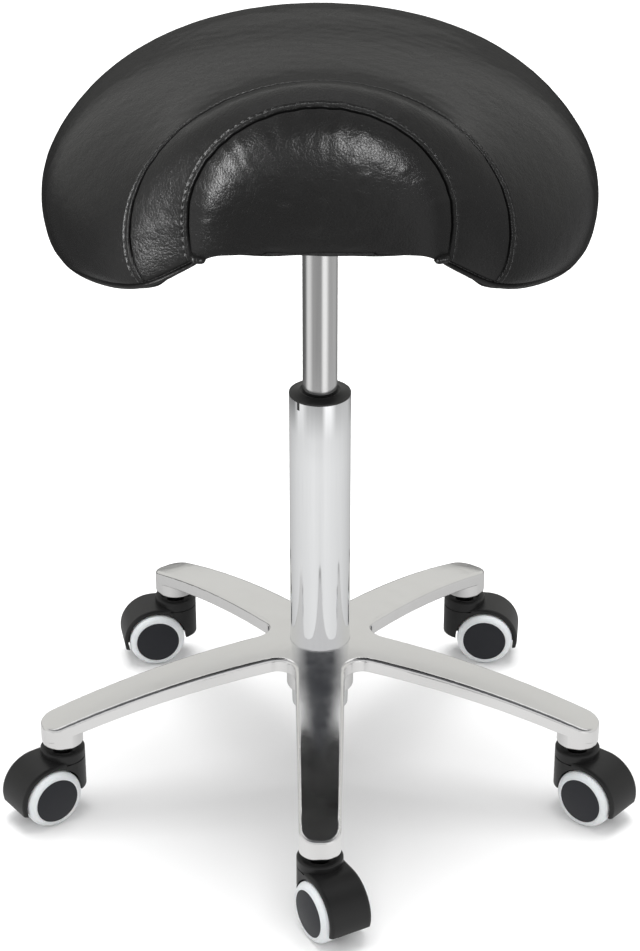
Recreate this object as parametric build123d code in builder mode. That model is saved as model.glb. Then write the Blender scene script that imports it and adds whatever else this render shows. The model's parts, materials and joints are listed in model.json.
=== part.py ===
"""Rolling saddle stool with a gas lift, a five-arm aluminium base and hooded twin-wheel casters.

Frame: millimetres, +Z up, origin on the floor under the lift column, and the pommel faces -Y.
The seat is drawn near the top of its travel.
"""

from build123d import *
from math import cos, radians, sin
import os

# ---------------------------------------------------------------- driving dimensions
# Casters. Heading is the plan direction from the stem to the axle.
WHEEL_R = 25.0
WHEEL_DISC_R = 19.2
WHEEL_DOME = 0.8
WHEEL_INNER_FACE = 5.5
WHEEL_OUTER_FACE = 22.5
TYRE_SHOULDER_R = 6.5
AXLE_R = 3.0
AXLE_HEIGHT = WHEEL_R
TRAIL = 20.0
HOOD_R = 29.6
HOOD_HALF_WIDTH = 18.2
HOOD_WEB_HALF = 4.5
COLLAR_R = 18.4
COLLAR_LOW = 52.0
COLLAR_RECESS_R = 13.5
COLLAR_RECESS_DEPTH = 4.0
HOOD_TOP = 61.0
HOOD_BOTTOM = 17.0
WEB_HEEL = 8.0
WHEEL_GAP = 1.4
STEM_R = 5.5
STEM_BOTTOM = 47.0
STEM_TOP = 81.0
STEM_SHOULDER_R = 9.0
GRIP_RING_LOW = 72.0
GRIP_RING_HIGH = 77.0
RUNNING_GAP = 0.05
CASTERS = {
    "front": (-90, -60),
    "right_front": (-18, -40),
    "right_rear": (54, -6),
    "left_rear": (126, 191),
    "left_front": (198, 216),
}

# Base casting.
ARM_COUNT = 5
FIRST_ARM = -90
STEM_CIRCLE_R = 224.0
ARM_REACH = 240.5
ARM_ROOT_HALF = 21.5
ARM_TIP_HALF = 16.3
ARM_THICKNESS = 12.0
ARM_WALL = 4.0
ARM_EDGE_R = 3.0
CROTCH_R = 16.0
TIP_CORNER_R = 14.0
RIB_RADII = (95, 150)
RIB_THICKNESS = 3.0
BOSS_BOTTOM = 66.0
BOSS_R = 17.5
SOCKET_R = 6.0
SOCKET_DEPTH = 16.0
HUB_TOP = 125.0
HUB_BOTTOM = 81.0
HUB_R = 28.0
HUB_CHAMFER = 1.2
CROWN_MIDDLE = (130.0, 111.5)
CROWN_END = (250.0, 80.0)

# Lift column. The outer tube's foot and the cylinder's head are tapered.
COLUMN_R = 25.0
COLUMN_FOOT_R = 23.4
COLUMN_TOP = 350.0
COLUMN_BOTTOM = 62.0
COLUMN_WALL = 1.8
BUSH_BOTTOM = 258.0
BUSH_DOME = 3.6
LIFT_R = 14.0
LIFT_HEAD_R = 13.2
LIFT_BOTTOM = 228.0
LIFT_TOP = 521.0
LIFT_HEAD_START = 486.0
LIFT_BORE_R = 11.5
LIFT_BORE_TOP = 480.0
GLAND_LENGTH = 9.0
ROD_R = 5.0
ROD_COLLAR_R = 9.0
PISTON_LOW = 251.0
PISTON_TOP = 262.0
PISTON_GROOVE_LOW = 255.0
PISTON_GROOVE_HIGH = 258.0
BUMPER_R = 12.0
BUMPER_HEIGHT = 17.4
BEARING_Z = 68.0
BEARING_RACE = 2.5
BEARING_R = 17.0
CAGE_HALF_WIDTH = 3.5
CAGE_HALF_THICK = 0.7
BALL_R = 2.5
BALL_Z = BEARING_Z + BEARING_RACE + 1.2
UPPER_RACE_Z = BALL_Z + 1.2
COLLAR_TOP = UPPER_RACE_Z + BEARING_RACE + 4
BALL_CIRCLE_R = 12.0
BALL_COUNT = 10
KEY_ANGLE = -134.0
KEY_WIDTH = 2.2
KEY_DEPTH = 6.5
KEY_DIRECTION = (cos(radians(KEY_ANGLE)), sin(radians(KEY_ANGLE)), 0)
KEY_ACROSS = (-sin(radians(KEY_ANGLE)), cos(radians(KEY_ANGLE)), 0)

# Seat mechanism.
PAN_Z = 544.0
PLATE_LENGTH = 120.0
PLATE_WIDTH = 150.0
PLATE_THICK = 3.0
BOLT_X = 90.0
BOLT_Y = 120.0
BOLT_R = 3.0
BOLT_HEAD = 4.0
WASHER_R = 7.0
WASHER_THICK = 1.2
TEE_NUT_R = 4.2
TEE_FLANGE_R = 9.0
TEE_FLANGE_THICK = 1.5
CHEEK_HALF = 16.0
CHEEK_THICK = 3.0
CHEEK_LOW = 497.0
PIVOT_X = 22.0
PIVOT_Z = 529.0
PIVOT_R = 2.5
PIN_R = 2.0
PIN_BOTTOM = 490.0
PIN_HEAD_R = 4.0
PIN_TOP = 526.4
LEVER_R = 4.0
LEVER_PATH = [(PIVOT_X + 4, 0, PIVOT_Z - 2), (60, 10, 501), (102, 24, 460), (170, 44, 448)]

GRIP_DEPTH = 46.0
GRIP_SECTIONS = [(0, 9, 6.2), (34, 13, 6.8), (52, 9.5, 5.4)]

# Saddle. The pan is bent over the underside's curve; its plan outline is given for the right half.
PAN_THICK = 10.0
PAN_OUTLINE = [
    (0, -168),
    (62, -164),
    (98, -148),
    (128, -95),
    (136, -10),
    (130, 60),
    (112, 110),
    (70, 152),
    (0, 168),
]
COVER_THICK = 2.0
DUST_THICK = 1.2
UNDERSIDE_FLAT = 62.0
UNDERSIDE_KNEE = (107.0, 518.0)
UNDERSIDE_END = (166.0, 455.0)
# Each arch is (top y, top z, foot y, foot z, half width, foot half width, waist share).
ARCHES = [
    (-180, 612, -181, 558, 44, 38, 0.40),
    (-174, 632, -178, 545, 72, 66, 0.33),
    (-153, 650, -165, 529, 99, 91, 0.28),
    (-130, 655, -158, 518, 120, 106, 0.25),
    (-100, 647, -150, 507, 144, 125, 0.25),
    (-40, 637, -95, 487, 190, 162, 0.255),
    (30, 635, -25, 479, 215, 190, 0.28),
    (90, 632, 40, 481, 210, 182, 0.315),
    (135, 630, 95, 489, 189, 157, 0.35),
    (163, 620, 131, 501, 160, 120, 0.39),
    (178, 600, 161, 513, 124, 82, 0.43),
    (184, 580, 181, 549, 80, 58, 0.46),
]

os.makedirs("parts", exist_ok=True)


def save(piece, name):
    """Label one finished piece and write it as its own STEP file."""
    piece.label = name
    export_step(piece, f"parts/{name}.step")


def ring_profile(inner, outer, low, high):
    """A rectangle in the XZ plane that revolves into a plain ring."""
    with BuildSketch(Plane.XZ) as profile:
        with Locations(((inner + outer) / 2, (low + high) / 2)):
            Rectangle(outer - inner, high - low)
    return profile.sketch


def at_arm(angle):
    """Placement of the stem axis at one arm's tip."""
    return Location((STEM_CIRCLE_R * cos(radians(angle)), STEM_CIRCLE_R * sin(radians(angle)), 0))


# ---------------------------------------------------------------- base casting
def arm_top_profile(drop):
    """Radial section of the star's crowned top face, closed down to the floor plane."""
    with BuildSketch(Plane.XZ) as section:
        with BuildLine():
            crown = ThreePointArc(
                (0, HUB_TOP - drop),
                (CROWN_MIDDLE[0], CROWN_MIDDLE[1] - drop),
                (CROWN_END[0], CROWN_END[1] - drop),
            )
            Polyline(crown @ 1, (CROWN_END[0], 0), (0, 0), crown @ 0)
        make_face()
    return section.sketch


def star_outline(shrink):
    """Plan view of the five arms, drawn in by shrink for the hollow underside."""
    with BuildSketch(Plane.XY) as star:
        with PolarLocations(0, ARM_COUNT, start_angle=FIRST_ARM):
            Polygon(
                (0, -ARM_ROOT_HALF + shrink),
                (ARM_REACH, -ARM_TIP_HALF + shrink),
                (ARM_REACH, ARM_TIP_HALF - shrink),
                (0, ARM_ROOT_HALF - shrink),
                align=None,
            )
        crotches = star.vertices().filter_by(lambda v: 10 < Vector(v.X, v.Y).length < ARM_REACH / 4)
        fillet(crotches, CROTCH_R - shrink)
        tips = star.vertices().filter_by(lambda v: Vector(v.X, v.Y).length > STEM_CIRCLE_R)
        fillet(tips, TIP_CORNER_R - shrink)
    return star.sketch


def boss_columns():
    """Upright columns at the arm tips, where the casting stays solid round each stem."""
    with BuildPart(mode=Mode.PRIVATE) as columns:
        with BuildSketch(Plane.XY):
            with PolarLocations(STEM_CIRCLE_R, ARM_COUNT, start_angle=FIRST_ARM):
                Circle(BOSS_R)
        extrude(amount=HUB_TOP)
    return columns.part


def make_base():
    """The die-cast star: crowned arms with hollow undersides, stem sockets and a tapered hub bore."""
    outline, underside_outline = star_outline(0), star_outline(ARM_WALL)
    crown, arm_under = arm_top_profile(0), arm_top_profile(ARM_THICKNESS)
    roof = arm_top_profile(ARM_WALL + 1.5)
    columns = boss_columns()

    with BuildPart(mode=Mode.PRIVATE) as hollow:
        add(underside_outline)
        extrude(amount=HUB_TOP)
        add(roof)
        revolve(axis=Axis.Z, mode=Mode.INTERSECT)
        for rib_r in RIB_RADII:
            with PolarLocations(rib_r, ARM_COUNT, start_angle=FIRST_ARM):
                Box(RIB_THICKNESS, 3 * ARM_ROOT_HALF, 3 * HUB_TOP, mode=Mode.SUBTRACT)
        add(columns, mode=Mode.SUBTRACT)

    with BuildPart(mode=Mode.PRIVATE) as below_arms:
        add(arm_under)
        revolve(axis=Axis.Z)
        add(columns, mode=Mode.SUBTRACT)

    with BuildPart() as base:
        add(outline)
        extrude(amount=HUB_TOP + 5)
        add(crown)
        revolve(axis=Axis.Z, mode=Mode.INTERSECT)
        with Locations((0, 0, BOSS_BOTTOM / 2)):
            Cylinder(2 * STEM_CIRCLE_R, BOSS_BOTTOM, mode=Mode.SUBTRACT)
        top_face = base.faces().filter_by(lambda f: f.geom_type != GeomType.PLANE).sort_by(SortBy.AREA)[-1]
        fillet(top_face.edges(), ARM_EDGE_R)
        add(below_arms.part, mode=Mode.SUBTRACT)
        add(hollow.part, mode=Mode.SUBTRACT)
        boss_faces = base.faces().filter_by(Axis.Z).group_by(Axis.Z)[0]
        fillet(boss_faces.edges(), 1.5)
        # Central boss around the column's taper.
        with BuildSketch(Plane.XY.offset(HUB_BOTTOM)):
            Circle(HUB_R)
        extrude(amount=HUB_TOP - HUB_BOTTOM - 2 * ARM_EDGE_R)
        # Stem sockets.
        with BuildSketch(Plane.XY.offset(BOSS_BOTTOM)):
            with PolarLocations(STEM_CIRCLE_R, ARM_COUNT, start_angle=FIRST_ARM):
                Circle(SOCKET_R)
        extrude(amount=SOCKET_DEPTH, mode=Mode.SUBTRACT)
        # Tapered bore that wedges on the column's foot.
        with BuildSketch(Plane.XZ):
            with BuildLine():
                Polyline(
                    (0, COLUMN_BOTTOM),
                    (COLUMN_FOOT_R, COLUMN_BOTTOM),
                    (COLUMN_R, HUB_TOP),
                    (COLUMN_R, HUB_TOP + 1),
                    (0, HUB_TOP + 1),
                    close=True,
                )
            make_face()
        revolve(axis=Axis.Z, mode=Mode.SUBTRACT)
        # Broken edge round the bore's mouth.
        with BuildSketch(Plane.XZ):
            with BuildLine():
                Polyline(
                    (COLUMN_R - HUB_CHAMFER, HUB_TOP - 2 * HUB_CHAMFER),
                    (COLUMN_R + HUB_CHAMFER, HUB_TOP),
                    (COLUMN_R - HUB_CHAMFER, HUB_TOP),
                    close=True,
                )
            make_face()
        revolve(axis=Axis.Z, mode=Mode.SUBTRACT)
    return base.part


# ---------------------------------------------------------------- lift column, fixed side
def make_column_tube():
    """Outer tube: tapered foot, an in-turned floor with a hole for the rod, and a key slot at the rim."""
    with BuildPart() as tube:
        with BuildSketch(Plane.XZ):
            with BuildLine():
                Polyline(
                    (ROD_R + 1, COLUMN_BOTTOM),
                    (COLUMN_FOOT_R, COLUMN_BOTTOM),
                    (COLUMN_R, HUB_TOP),
                    (COLUMN_R, COLUMN_TOP),
                    (COLUMN_R - COLUMN_WALL, COLUMN_TOP),
                    (COLUMN_R - COLUMN_WALL, HUB_TOP),
                    (COLUMN_FOOT_R - COLUMN_WALL, BEARING_Z),
                    (ROD_R + 1, BEARING_Z),
                    close=True,
                )
            make_face()
        revolve(axis=Axis.Z)
        with BuildSketch(Plane(origin=(0, 0, COLUMN_TOP), x_dir=KEY_ACROSS, z_dir=KEY_DIRECTION)):
            Rectangle(KEY_WIDTH + 0.4, 2 * KEY_DEPTH)
        extrude(amount=COLUMN_R + 1, mode=Mode.SUBTRACT)
    return tube.part


def make_column_bush():
    """Plastic guide bush with a domed collar on the tube's rim and a key that fills the tube's slot."""
    bush_r = COLUMN_R - COLUMN_WALL - RUNNING_GAP
    bore = LIFT_R + RUNNING_GAP
    rim_z, lip_r = COLUMN_TOP + 1.6, bore + 2.5
    with BuildPart() as bush:
        with BuildSketch(Plane.XZ):
            with BuildLine():
                Polyline(
                    (bore, BUSH_BOTTOM),
                    (bush_r, BUSH_BOTTOM),
                    (bush_r, COLUMN_TOP),
                    (COLUMN_R, COLUMN_TOP),
                    (COLUMN_R, rim_z),
                )
                RadiusArc((COLUMN_R, rim_z), (lip_r, COLUMN_TOP + BUSH_DOME), 30)
                Polyline((lip_r, COLUMN_TOP + BUSH_DOME), (bore, COLUMN_TOP + 2.4), (bore, BUSH_BOTTOM))
            make_face()
        revolve(axis=Axis.Z)
        with BuildSketch(Plane(origin=(0, 0, COLUMN_TOP), x_dir=KEY_ACROSS, z_dir=KEY_DIRECTION)):
            with Locations((0, -KEY_DEPTH / 2 + 0.4)):
                Rectangle(KEY_WIDTH, KEY_DEPTH - 0.8)
        extrude(amount=COLUMN_R)
        with BuildSketch(Plane.XY.offset(BUSH_BOTTOM)):
            Circle(bore)
        extrude(amount=COLUMN_TOP + BUSH_DOME - BUSH_BOTTOM, mode=Mode.SUBTRACT)
    return bush.part


def make_bumper():
    """Rubber buffer on the rod's collar, which the cylinder lands on at the bottom of its stroke."""
    with BuildPart() as bumper:
        add(ring_profile(ROD_R, BUMPER_R, COLLAR_TOP, COLLAR_TOP + BUMPER_HEIGHT))
        revolve(axis=Axis.Z)
        fillet(bumper.edges().group_by(Axis.Z)[-1], 1.5)
    return bumper.part


def make_race(low, inner):
    """One washer of the thrust bearing, with a groove the balls roll in."""
    with BuildPart() as race:
        add(ring_profile(inner, BEARING_R, low, low + BEARING_RACE))
        revolve(axis=Axis.Z)
        with Locations((0, 0, BALL_Z)):
            Torus(BALL_CIRCLE_R, BALL_R + RUNNING_GAP, mode=Mode.SUBTRACT)
    return race.part


def make_balls():
    """The bearing's balls, as separate solids on one circle."""
    with BuildPart() as balls:
        with PolarLocations(BALL_CIRCLE_R, BALL_COUNT):
            with Locations((0, 0, BALL_Z)):
                Sphere(BALL_R)
    return balls.part


def make_cage():
    """Thin ring that spaces the balls."""
    inner, outer = BALL_CIRCLE_R - CAGE_HALF_WIDTH, BALL_CIRCLE_R + CAGE_HALF_WIDTH
    with BuildPart() as cage:
        add(ring_profile(inner, outer, BALL_Z - CAGE_HALF_THICK, BALL_Z + CAGE_HALF_THICK))
        revolve(axis=Axis.Z)
        with PolarLocations(BALL_CIRCLE_R, BALL_COUNT):
            with Locations((0, 0, BALL_Z)):
                Sphere(BALL_R + RUNNING_GAP, mode=Mode.SUBTRACT)
    return cage.part


# ---------------------------------------------------------------- lift column, turning side
def make_rod():
    """Piston rod: a collar rests on the bearing, a groove under the tube takes the retaining clip."""
    collar_z = UPPER_RACE_Z + BEARING_RACE
    with BuildPart() as rod:
        with BuildSketch(Plane.XZ):
            with BuildLine():
                Polyline(
                    (0, COLUMN_BOTTOM - 5),
                    (ROD_R - 1, COLUMN_BOTTOM - 5),
                    (ROD_R, COLUMN_BOTTOM - 4),
                    (ROD_R, COLUMN_BOTTOM - 2),
                    (ROD_R - 1.2, COLUMN_BOTTOM - 2),
                    (ROD_R - 1.2, COLUMN_BOTTOM - 0.6),
                    (ROD_R, COLUMN_BOTTOM - 0.6),
                    (ROD_R, collar_z),
                    (ROD_COLLAR_R, collar_z),
                    (ROD_COLLAR_R, COLLAR_TOP),
                    (ROD_R, COLLAR_TOP),
                    (ROD_R, PISTON_TOP),
                    (0, PISTON_TOP),
                    close=True,
                )
            make_face()
        revolve(axis=Axis.Z)
    return rod.part


def make_clip():
    """Spring clip in the rod's groove, open on one side."""
    with BuildPart() as clip:
        add(ring_profile(ROD_R - 1.15, ROD_R + 3.5, COLUMN_BOTTOM - 1.9, COLUMN_BOTTOM - 0.7))
        revolve(axis=Axis.Z)
        with Locations((0, -8, COLUMN_BOTTOM - 2)):
            Box(6, 16, 4, mode=Mode.SUBTRACT)
    return clip.part


def make_piston():
    """Piston on the rod's end, grooved for its ring."""
    with BuildPart() as piston:
        add(ring_profile(ROD_R, LIFT_BORE_R - 0.1, PISTON_LOW, PISTON_TOP))
        revolve(axis=Axis.Z)
        add(ring_profile(LIFT_BORE_R - 1.6, LIFT_BORE_R + 1, PISTON_GROOVE_LOW, PISTON_GROOVE_HIGH))
        revolve(axis=Axis.Z, mode=Mode.SUBTRACT)
    return piston.part


def make_piston_ring():
    """Sliding seal in the piston's groove."""
    low, high = PISTON_GROOVE_LOW + 0.1, PISTON_GROOVE_HIGH - 0.1
    with BuildPart() as seal:
        add(ring_profile(LIFT_BORE_R - 1.55, LIFT_BORE_R - 0.03, low, high))
        revolve(axis=Axis.Z)
    return seal.part


# ---------------------------------------------------------------- lift column, rising side
def make_cylinder():
    """Gas cylinder: the bright tube that rises with the seat, closed by a tapered head with a valve bore."""
    valve_bore = PIN_R + RUNNING_GAP
    with BuildPart() as cylinder:
        with BuildSketch(Plane.XZ):
            with BuildLine():
                Polyline(
                    (valve_bore, LIFT_TOP),
                    (LIFT_HEAD_R - 1, LIFT_TOP),
                    (LIFT_HEAD_R, LIFT_TOP - 1),
                    (LIFT_R, LIFT_HEAD_START),
                    (LIFT_R, LIFT_BOTTOM + 1),
                    (LIFT_R - 1, LIFT_BOTTOM),
                    (LIFT_BORE_R, LIFT_BOTTOM),
                    (LIFT_BORE_R, LIFT_BORE_TOP),
                    (valve_bore, LIFT_BORE_TOP),
                    close=True,
                )
            make_face()
        revolve(axis=Axis.Z)
    return cylinder.part


def make_gland():
    """Rod guide that closes the cylinder's lower end."""
    with BuildPart() as gland:
        add(ring_profile(ROD_R + RUNNING_GAP, LIFT_BORE_R, LIFT_BOTTOM, LIFT_BOTTOM + GLAND_LENGTH))
        revolve(axis=Axis.Z)
    return gland.part


def make_valve_pin():
    """Release pin: a slim stem in the head's bore under a wider button."""
    head_z = LIFT_TOP + 3
    with BuildPart() as pin:
        with BuildSketch(Plane.XZ):
            with BuildLine():
                Polyline(
                    (0, PIN_BOTTOM),
                    (PIN_R, PIN_BOTTOM),
                    (PIN_R, head_z),
                    (PIN_HEAD_R, head_z),
                    (PIN_HEAD_R, PIN_TOP),
                    (0, PIN_TOP),
                    close=True,
                )
            make_face()
        revolve(axis=Axis.Z)
    return pin.part


# ---------------------------------------------------------------- seat mechanism
def make_seat_plate():
    """Pressed plate with a welded box: two cheeks, a floor and the tapered socket for the lift's head."""
    plate_z = PAN_Z - PLATE_THICK
    with BuildPart() as plate:
        with BuildSketch(Plane.XY.offset(plate_z)):
            RectangleRounded(PLATE_LENGTH, PLATE_WIDTH, 12)
            with GridLocations(BOLT_X, BOLT_Y, 2, 2):
                Circle(BOLT_R + 0.3, mode=Mode.SUBTRACT)
        extrude(amount=PLATE_THICK)
        for side in (-1, 1):
            with BuildSketch(Plane.XZ.offset(side * (CHEEK_HALF + CHEEK_THICK / 2))):
                with BuildLine():
                    Polyline(
                        (-32, plate_z),
                        (-24, CHEEK_LOW),
                        (24, CHEEK_LOW),
                        (36, plate_z - 14),
                        (36, plate_z),
                        close=True,
                    )
                make_face()
                with Locations((PIVOT_X, PIVOT_Z)):
                    Circle(PIVOT_R, mode=Mode.SUBTRACT)
            extrude(amount=CHEEK_THICK / 2, both=True)
        with Locations((0, 0, CHEEK_LOW)):
            Box(46, 2 * CHEEK_HALF, CHEEK_THICK, align=(Align.CENTER, Align.CENTER, Align.MIN))
        with BuildSketch(Plane.XY.offset(LIFT_HEAD_START)):
            Circle(CHEEK_HALF)
        extrude(amount=LIFT_TOP - LIFT_HEAD_START)
        with BuildSketch(Plane.XZ):
            with BuildLine():
                Polyline(
                    (0, LIFT_HEAD_START),
                    (LIFT_R, LIFT_HEAD_START),
                    (LIFT_HEAD_R, LIFT_TOP - 1),
                    (LIFT_HEAD_R, LIFT_TOP + 1),
                    (0, LIFT_TOP + 1),
                    close=True,
                )
            make_face()
        revolve(axis=Axis.Z, mode=Mode.SUBTRACT)
    return plate.part


def make_lever():
    """Release lever: a flat tongue over the valve pin, a pivot sleeve and a bent rod out to the hand."""
    with BuildPart() as lever:
        with BuildSketch(Plane.XZ.offset(-CHEEK_HALF + 1)):
            with Locations((PIVOT_X, PIVOT_Z)):
                Circle(2 * PIVOT_R)
        extrude(amount=2 * CHEEK_HALF - 2)
        with Locations((PIVOT_X / 2 - 3, 0, PIN_TOP + 0.3)):
            Box(PIVOT_X + 6, 12, 3.5, align=(Align.CENTER, Align.CENTER, Align.MIN))
        with BuildLine() as path:
            FilletPolyline(*LEVER_PATH, radius=14)
        with BuildSketch(Plane(origin=LEVER_PATH[0], z_dir=path.wire() % 0)):
            Circle(LEVER_R)
        sweep(path=path.wire())
        with BuildSketch(Plane.XZ.offset(-CHEEK_HALF - 4)):
            with Locations((PIVOT_X, PIVOT_Z)):
                Circle(PIVOT_R + RUNNING_GAP)
        extrude(amount=2 * CHEEK_HALF + 8, mode=Mode.SUBTRACT)
    return lever.part


def make_lever_grip():
    """Flattened plastic grip pushed over the last part of the rod."""
    start, end = Vector(LEVER_PATH[2]), Vector(LEVER_PATH[3])
    along = (end - start).normalized()
    mouth = end - along * GRIP_DEPTH
    across = along.cross(Vector(0, 0, 1))
    with BuildPart() as grip:
        for distance, half_width, half_height in GRIP_SECTIONS:
            with BuildSketch(Plane(origin=mouth + along * distance, x_dir=across, z_dir=along)):
                Ellipse(half_width, half_height)
        loft()
        fillet(grip.faces().sort_by(Axis.X)[-1].edges(), 2)
        with BuildSketch(Plane(origin=mouth, x_dir=across, z_dir=along)):
            Circle(LEVER_R + RUNNING_GAP)
        extrude(amount=GRIP_DEPTH + 0.2, mode=Mode.SUBTRACT)
    return grip.part


def make_pivot_pin():
    """Headed pin through the cheeks and the lever's sleeve."""
    with BuildPart() as pin:
        with BuildSketch(Plane.XZ.offset(-CHEEK_HALF - 5)):
            with Locations((PIVOT_X, PIVOT_Z)):
                Circle(PIVOT_R)
        extrude(amount=2 * CHEEK_HALF + 10)
        with BuildSketch(Plane.XZ.offset(CHEEK_HALF + CHEEK_THICK)):
            with Locations((PIVOT_X, PIVOT_Z)):
                Circle(PIVOT_R + 2)
        extrude(amount=2)
    return pin.part


def make_bolts():
    """Four hex-head bolts up through the plate into the tee nuts."""
    head_z = PAN_Z - PLATE_THICK - WASHER_THICK
    with BuildPart() as bolts:
        with BuildSketch(Plane.XY.offset(head_z - BOLT_HEAD)):
            with GridLocations(BOLT_X, BOLT_Y, 2, 2):
                RegularPolygon(5.8, 6)
        extrude(amount=BOLT_HEAD)
        with BuildSketch(Plane.XY.offset(head_z)):
            with GridLocations(BOLT_X, BOLT_Y, 2, 2):
                Circle(BOLT_R)
        extrude(amount=11)
    return bolts.part


def make_washers():
    """Plain washers under the bolt heads."""
    with BuildPart() as washers:
        with BuildSketch(Plane.XY.offset(PAN_Z - PLATE_THICK - WASHER_THICK)):
            with GridLocations(BOLT_X, BOLT_Y, 2, 2):
                Circle(WASHER_R)
                Circle(BOLT_R + 0.2, mode=Mode.SUBTRACT)
        extrude(amount=WASHER_THICK)
    return washers.part


def make_tee_nuts():
    """Flanged nuts pressed into the pan from above."""
    with BuildPart() as nuts:
        with BuildSketch(Plane.XY.offset(PAN_Z)):
            with GridLocations(BOLT_X, BOLT_Y, 2, 2):
                Circle(TEE_NUT_R)
        extrude(amount=PAN_THICK)
        with BuildSketch(Plane.XY.offset(PAN_Z + PAN_THICK - TEE_FLANGE_THICK)):
            with GridLocations(BOLT_X, BOLT_Y, 2, 2):
                Circle(TEE_FLANGE_R)
        extrude(amount=TEE_FLANGE_THICK)
        with BuildSketch(Plane.XY.offset(PAN_Z)):
            with GridLocations(BOLT_X, BOLT_Y, 2, 2):
                Circle(BOLT_R + 0.05)
        extrude(amount=PAN_THICK, mode=Mode.SUBTRACT)
    return nuts.part


# ---------------------------------------------------------------- saddle
def arch_plane(arch):
    """The leaning plane of one arch, local X across the seat and local Y up the arch, and the arch's height."""
    top_y, top_z, foot_y, foot_z = arch[:4]
    rise = Vector(0, top_y - foot_y, top_z - foot_z)
    normal = Vector(1, 0, 0).cross(rise.normalized())
    return Plane(origin=(0, foot_y, foot_z), x_dir=(1, 0, 0), z_dir=normal), rise.length


def saddle(inset):
    """Closed saddle block lofted through the arches, each drawn in by inset."""
    nudges = {0: inset, len(ARCHES) - 1: -inset}
    with BuildPart() as block:
        for index, arch in enumerate(ARCHES):
            plane, height = arch_plane(arch)
            plane = plane.move(Location((0, nudges.get(index, 0), 0)))
            half, foot, waist = arch[4] - inset, arch[5] - inset, arch[6] * height
            with BuildSketch(plane):
                with BuildLine():
                    EllipticalCenterArc((0, waist), half, height - inset - waist, 0, arc_size=180)
                    EllipticalCenterArc((-foot, waist), half - foot, waist - inset, 180, arc_size=90)
                    Line((-foot, inset), (foot, inset))
                    EllipticalCenterArc((foot, waist), half - foot, waist - inset, 270, arc_size=90)
                make_face()
        loft()
    return block.part


def below_arch(rise):
    """Everything under the arched underside, raised by rise: flat in the middle, falling to the flaps."""
    knee_x, knee_z = UNDERSIDE_KNEE[0] + 0.72 * rise, UNDERSIDE_KNEE[1] + 0.7 * rise
    end_x, end_z = UNDERSIDE_END[0] + rise, UNDERSIDE_END[1]
    with BuildPart() as block:
        with BuildSketch(Plane.XZ):
            with BuildLine():
                right = Spline(
                    (UNDERSIDE_FLAT, PAN_Z + rise),
                    (knee_x, knee_z),
                    (end_x, end_z),
                    tangents=[(1, 0), (0.55, -1)],
                )
                left = Spline(
                    (-end_x, end_z),
                    (-knee_x, knee_z),
                    (-UNDERSIDE_FLAT, PAN_Z + rise),
                    tangents=[(0.55, 1), (1, 0)],
                )
                Line(left @ 1, right @ 0)
                Line(right @ 1, left @ 0)
            make_face()
        extrude(amount=200, both=True)
    return block.part


def pan_block():
    """Upright block over the pan's plan outline, cut off at the pan's upper face."""
    with BuildPart() as block:
        with BuildSketch(Plane.XY.offset(UNDERSIDE_END[1])):
            with BuildLine():
                edge = Spline(*PAN_OUTLINE, tangents=[(1, 0), (-1, 0)])
                mirror(edge, about=Plane.YZ)
            make_face()
        extrude(amount=PAN_Z + 2 * PAN_THICK - UNDERSIDE_END[1])
        add(below_arch(PAN_THICK), mode=Mode.INTERSECT)
    return block.part


def make_seat():
    """The saddle's layers, from the cover outside to the dust cover underneath."""
    outer, inner = saddle(0), saddle(COVER_THICK)
    under, under_sheet = below_arch(0), below_arch(-DUST_THICK)
    pan_space = pan_block()

    with BuildPart() as cover:
        add(outer)
        add(inner, mode=Mode.SUBTRACT)
        add(under, mode=Mode.SUBTRACT)

    with BuildPart() as foam:
        add(inner)
        add(under, mode=Mode.SUBTRACT)
        add(pan_space, mode=Mode.SUBTRACT)

    with BuildPart() as pan:
        add(inner)
        add(pan_space, mode=Mode.INTERSECT)
        add(under, mode=Mode.SUBTRACT)
        with Locations(Plane.XY.offset(PAN_Z + PAN_THICK)):
            with GridLocations(BOLT_X, BOLT_Y, 2, 2):
                CounterBoreHole(
                    TEE_NUT_R + RUNNING_GAP,
                    TEE_FLANGE_R + RUNNING_GAP,
                    TEE_FLANGE_THICK,
                    PAN_THICK + 1,
                )

    with BuildPart() as dust:
        add(inner)
        add(under, mode=Mode.INTERSECT)
        add(under_sheet, mode=Mode.SUBTRACT)
        with Locations((0, 0, PAN_Z)):
            Box(PLATE_LENGTH + 2, PLATE_WIDTH + 2, 10, mode=Mode.SUBTRACT)
    return cover.part, foam.part, pan.part, dust.part


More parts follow.
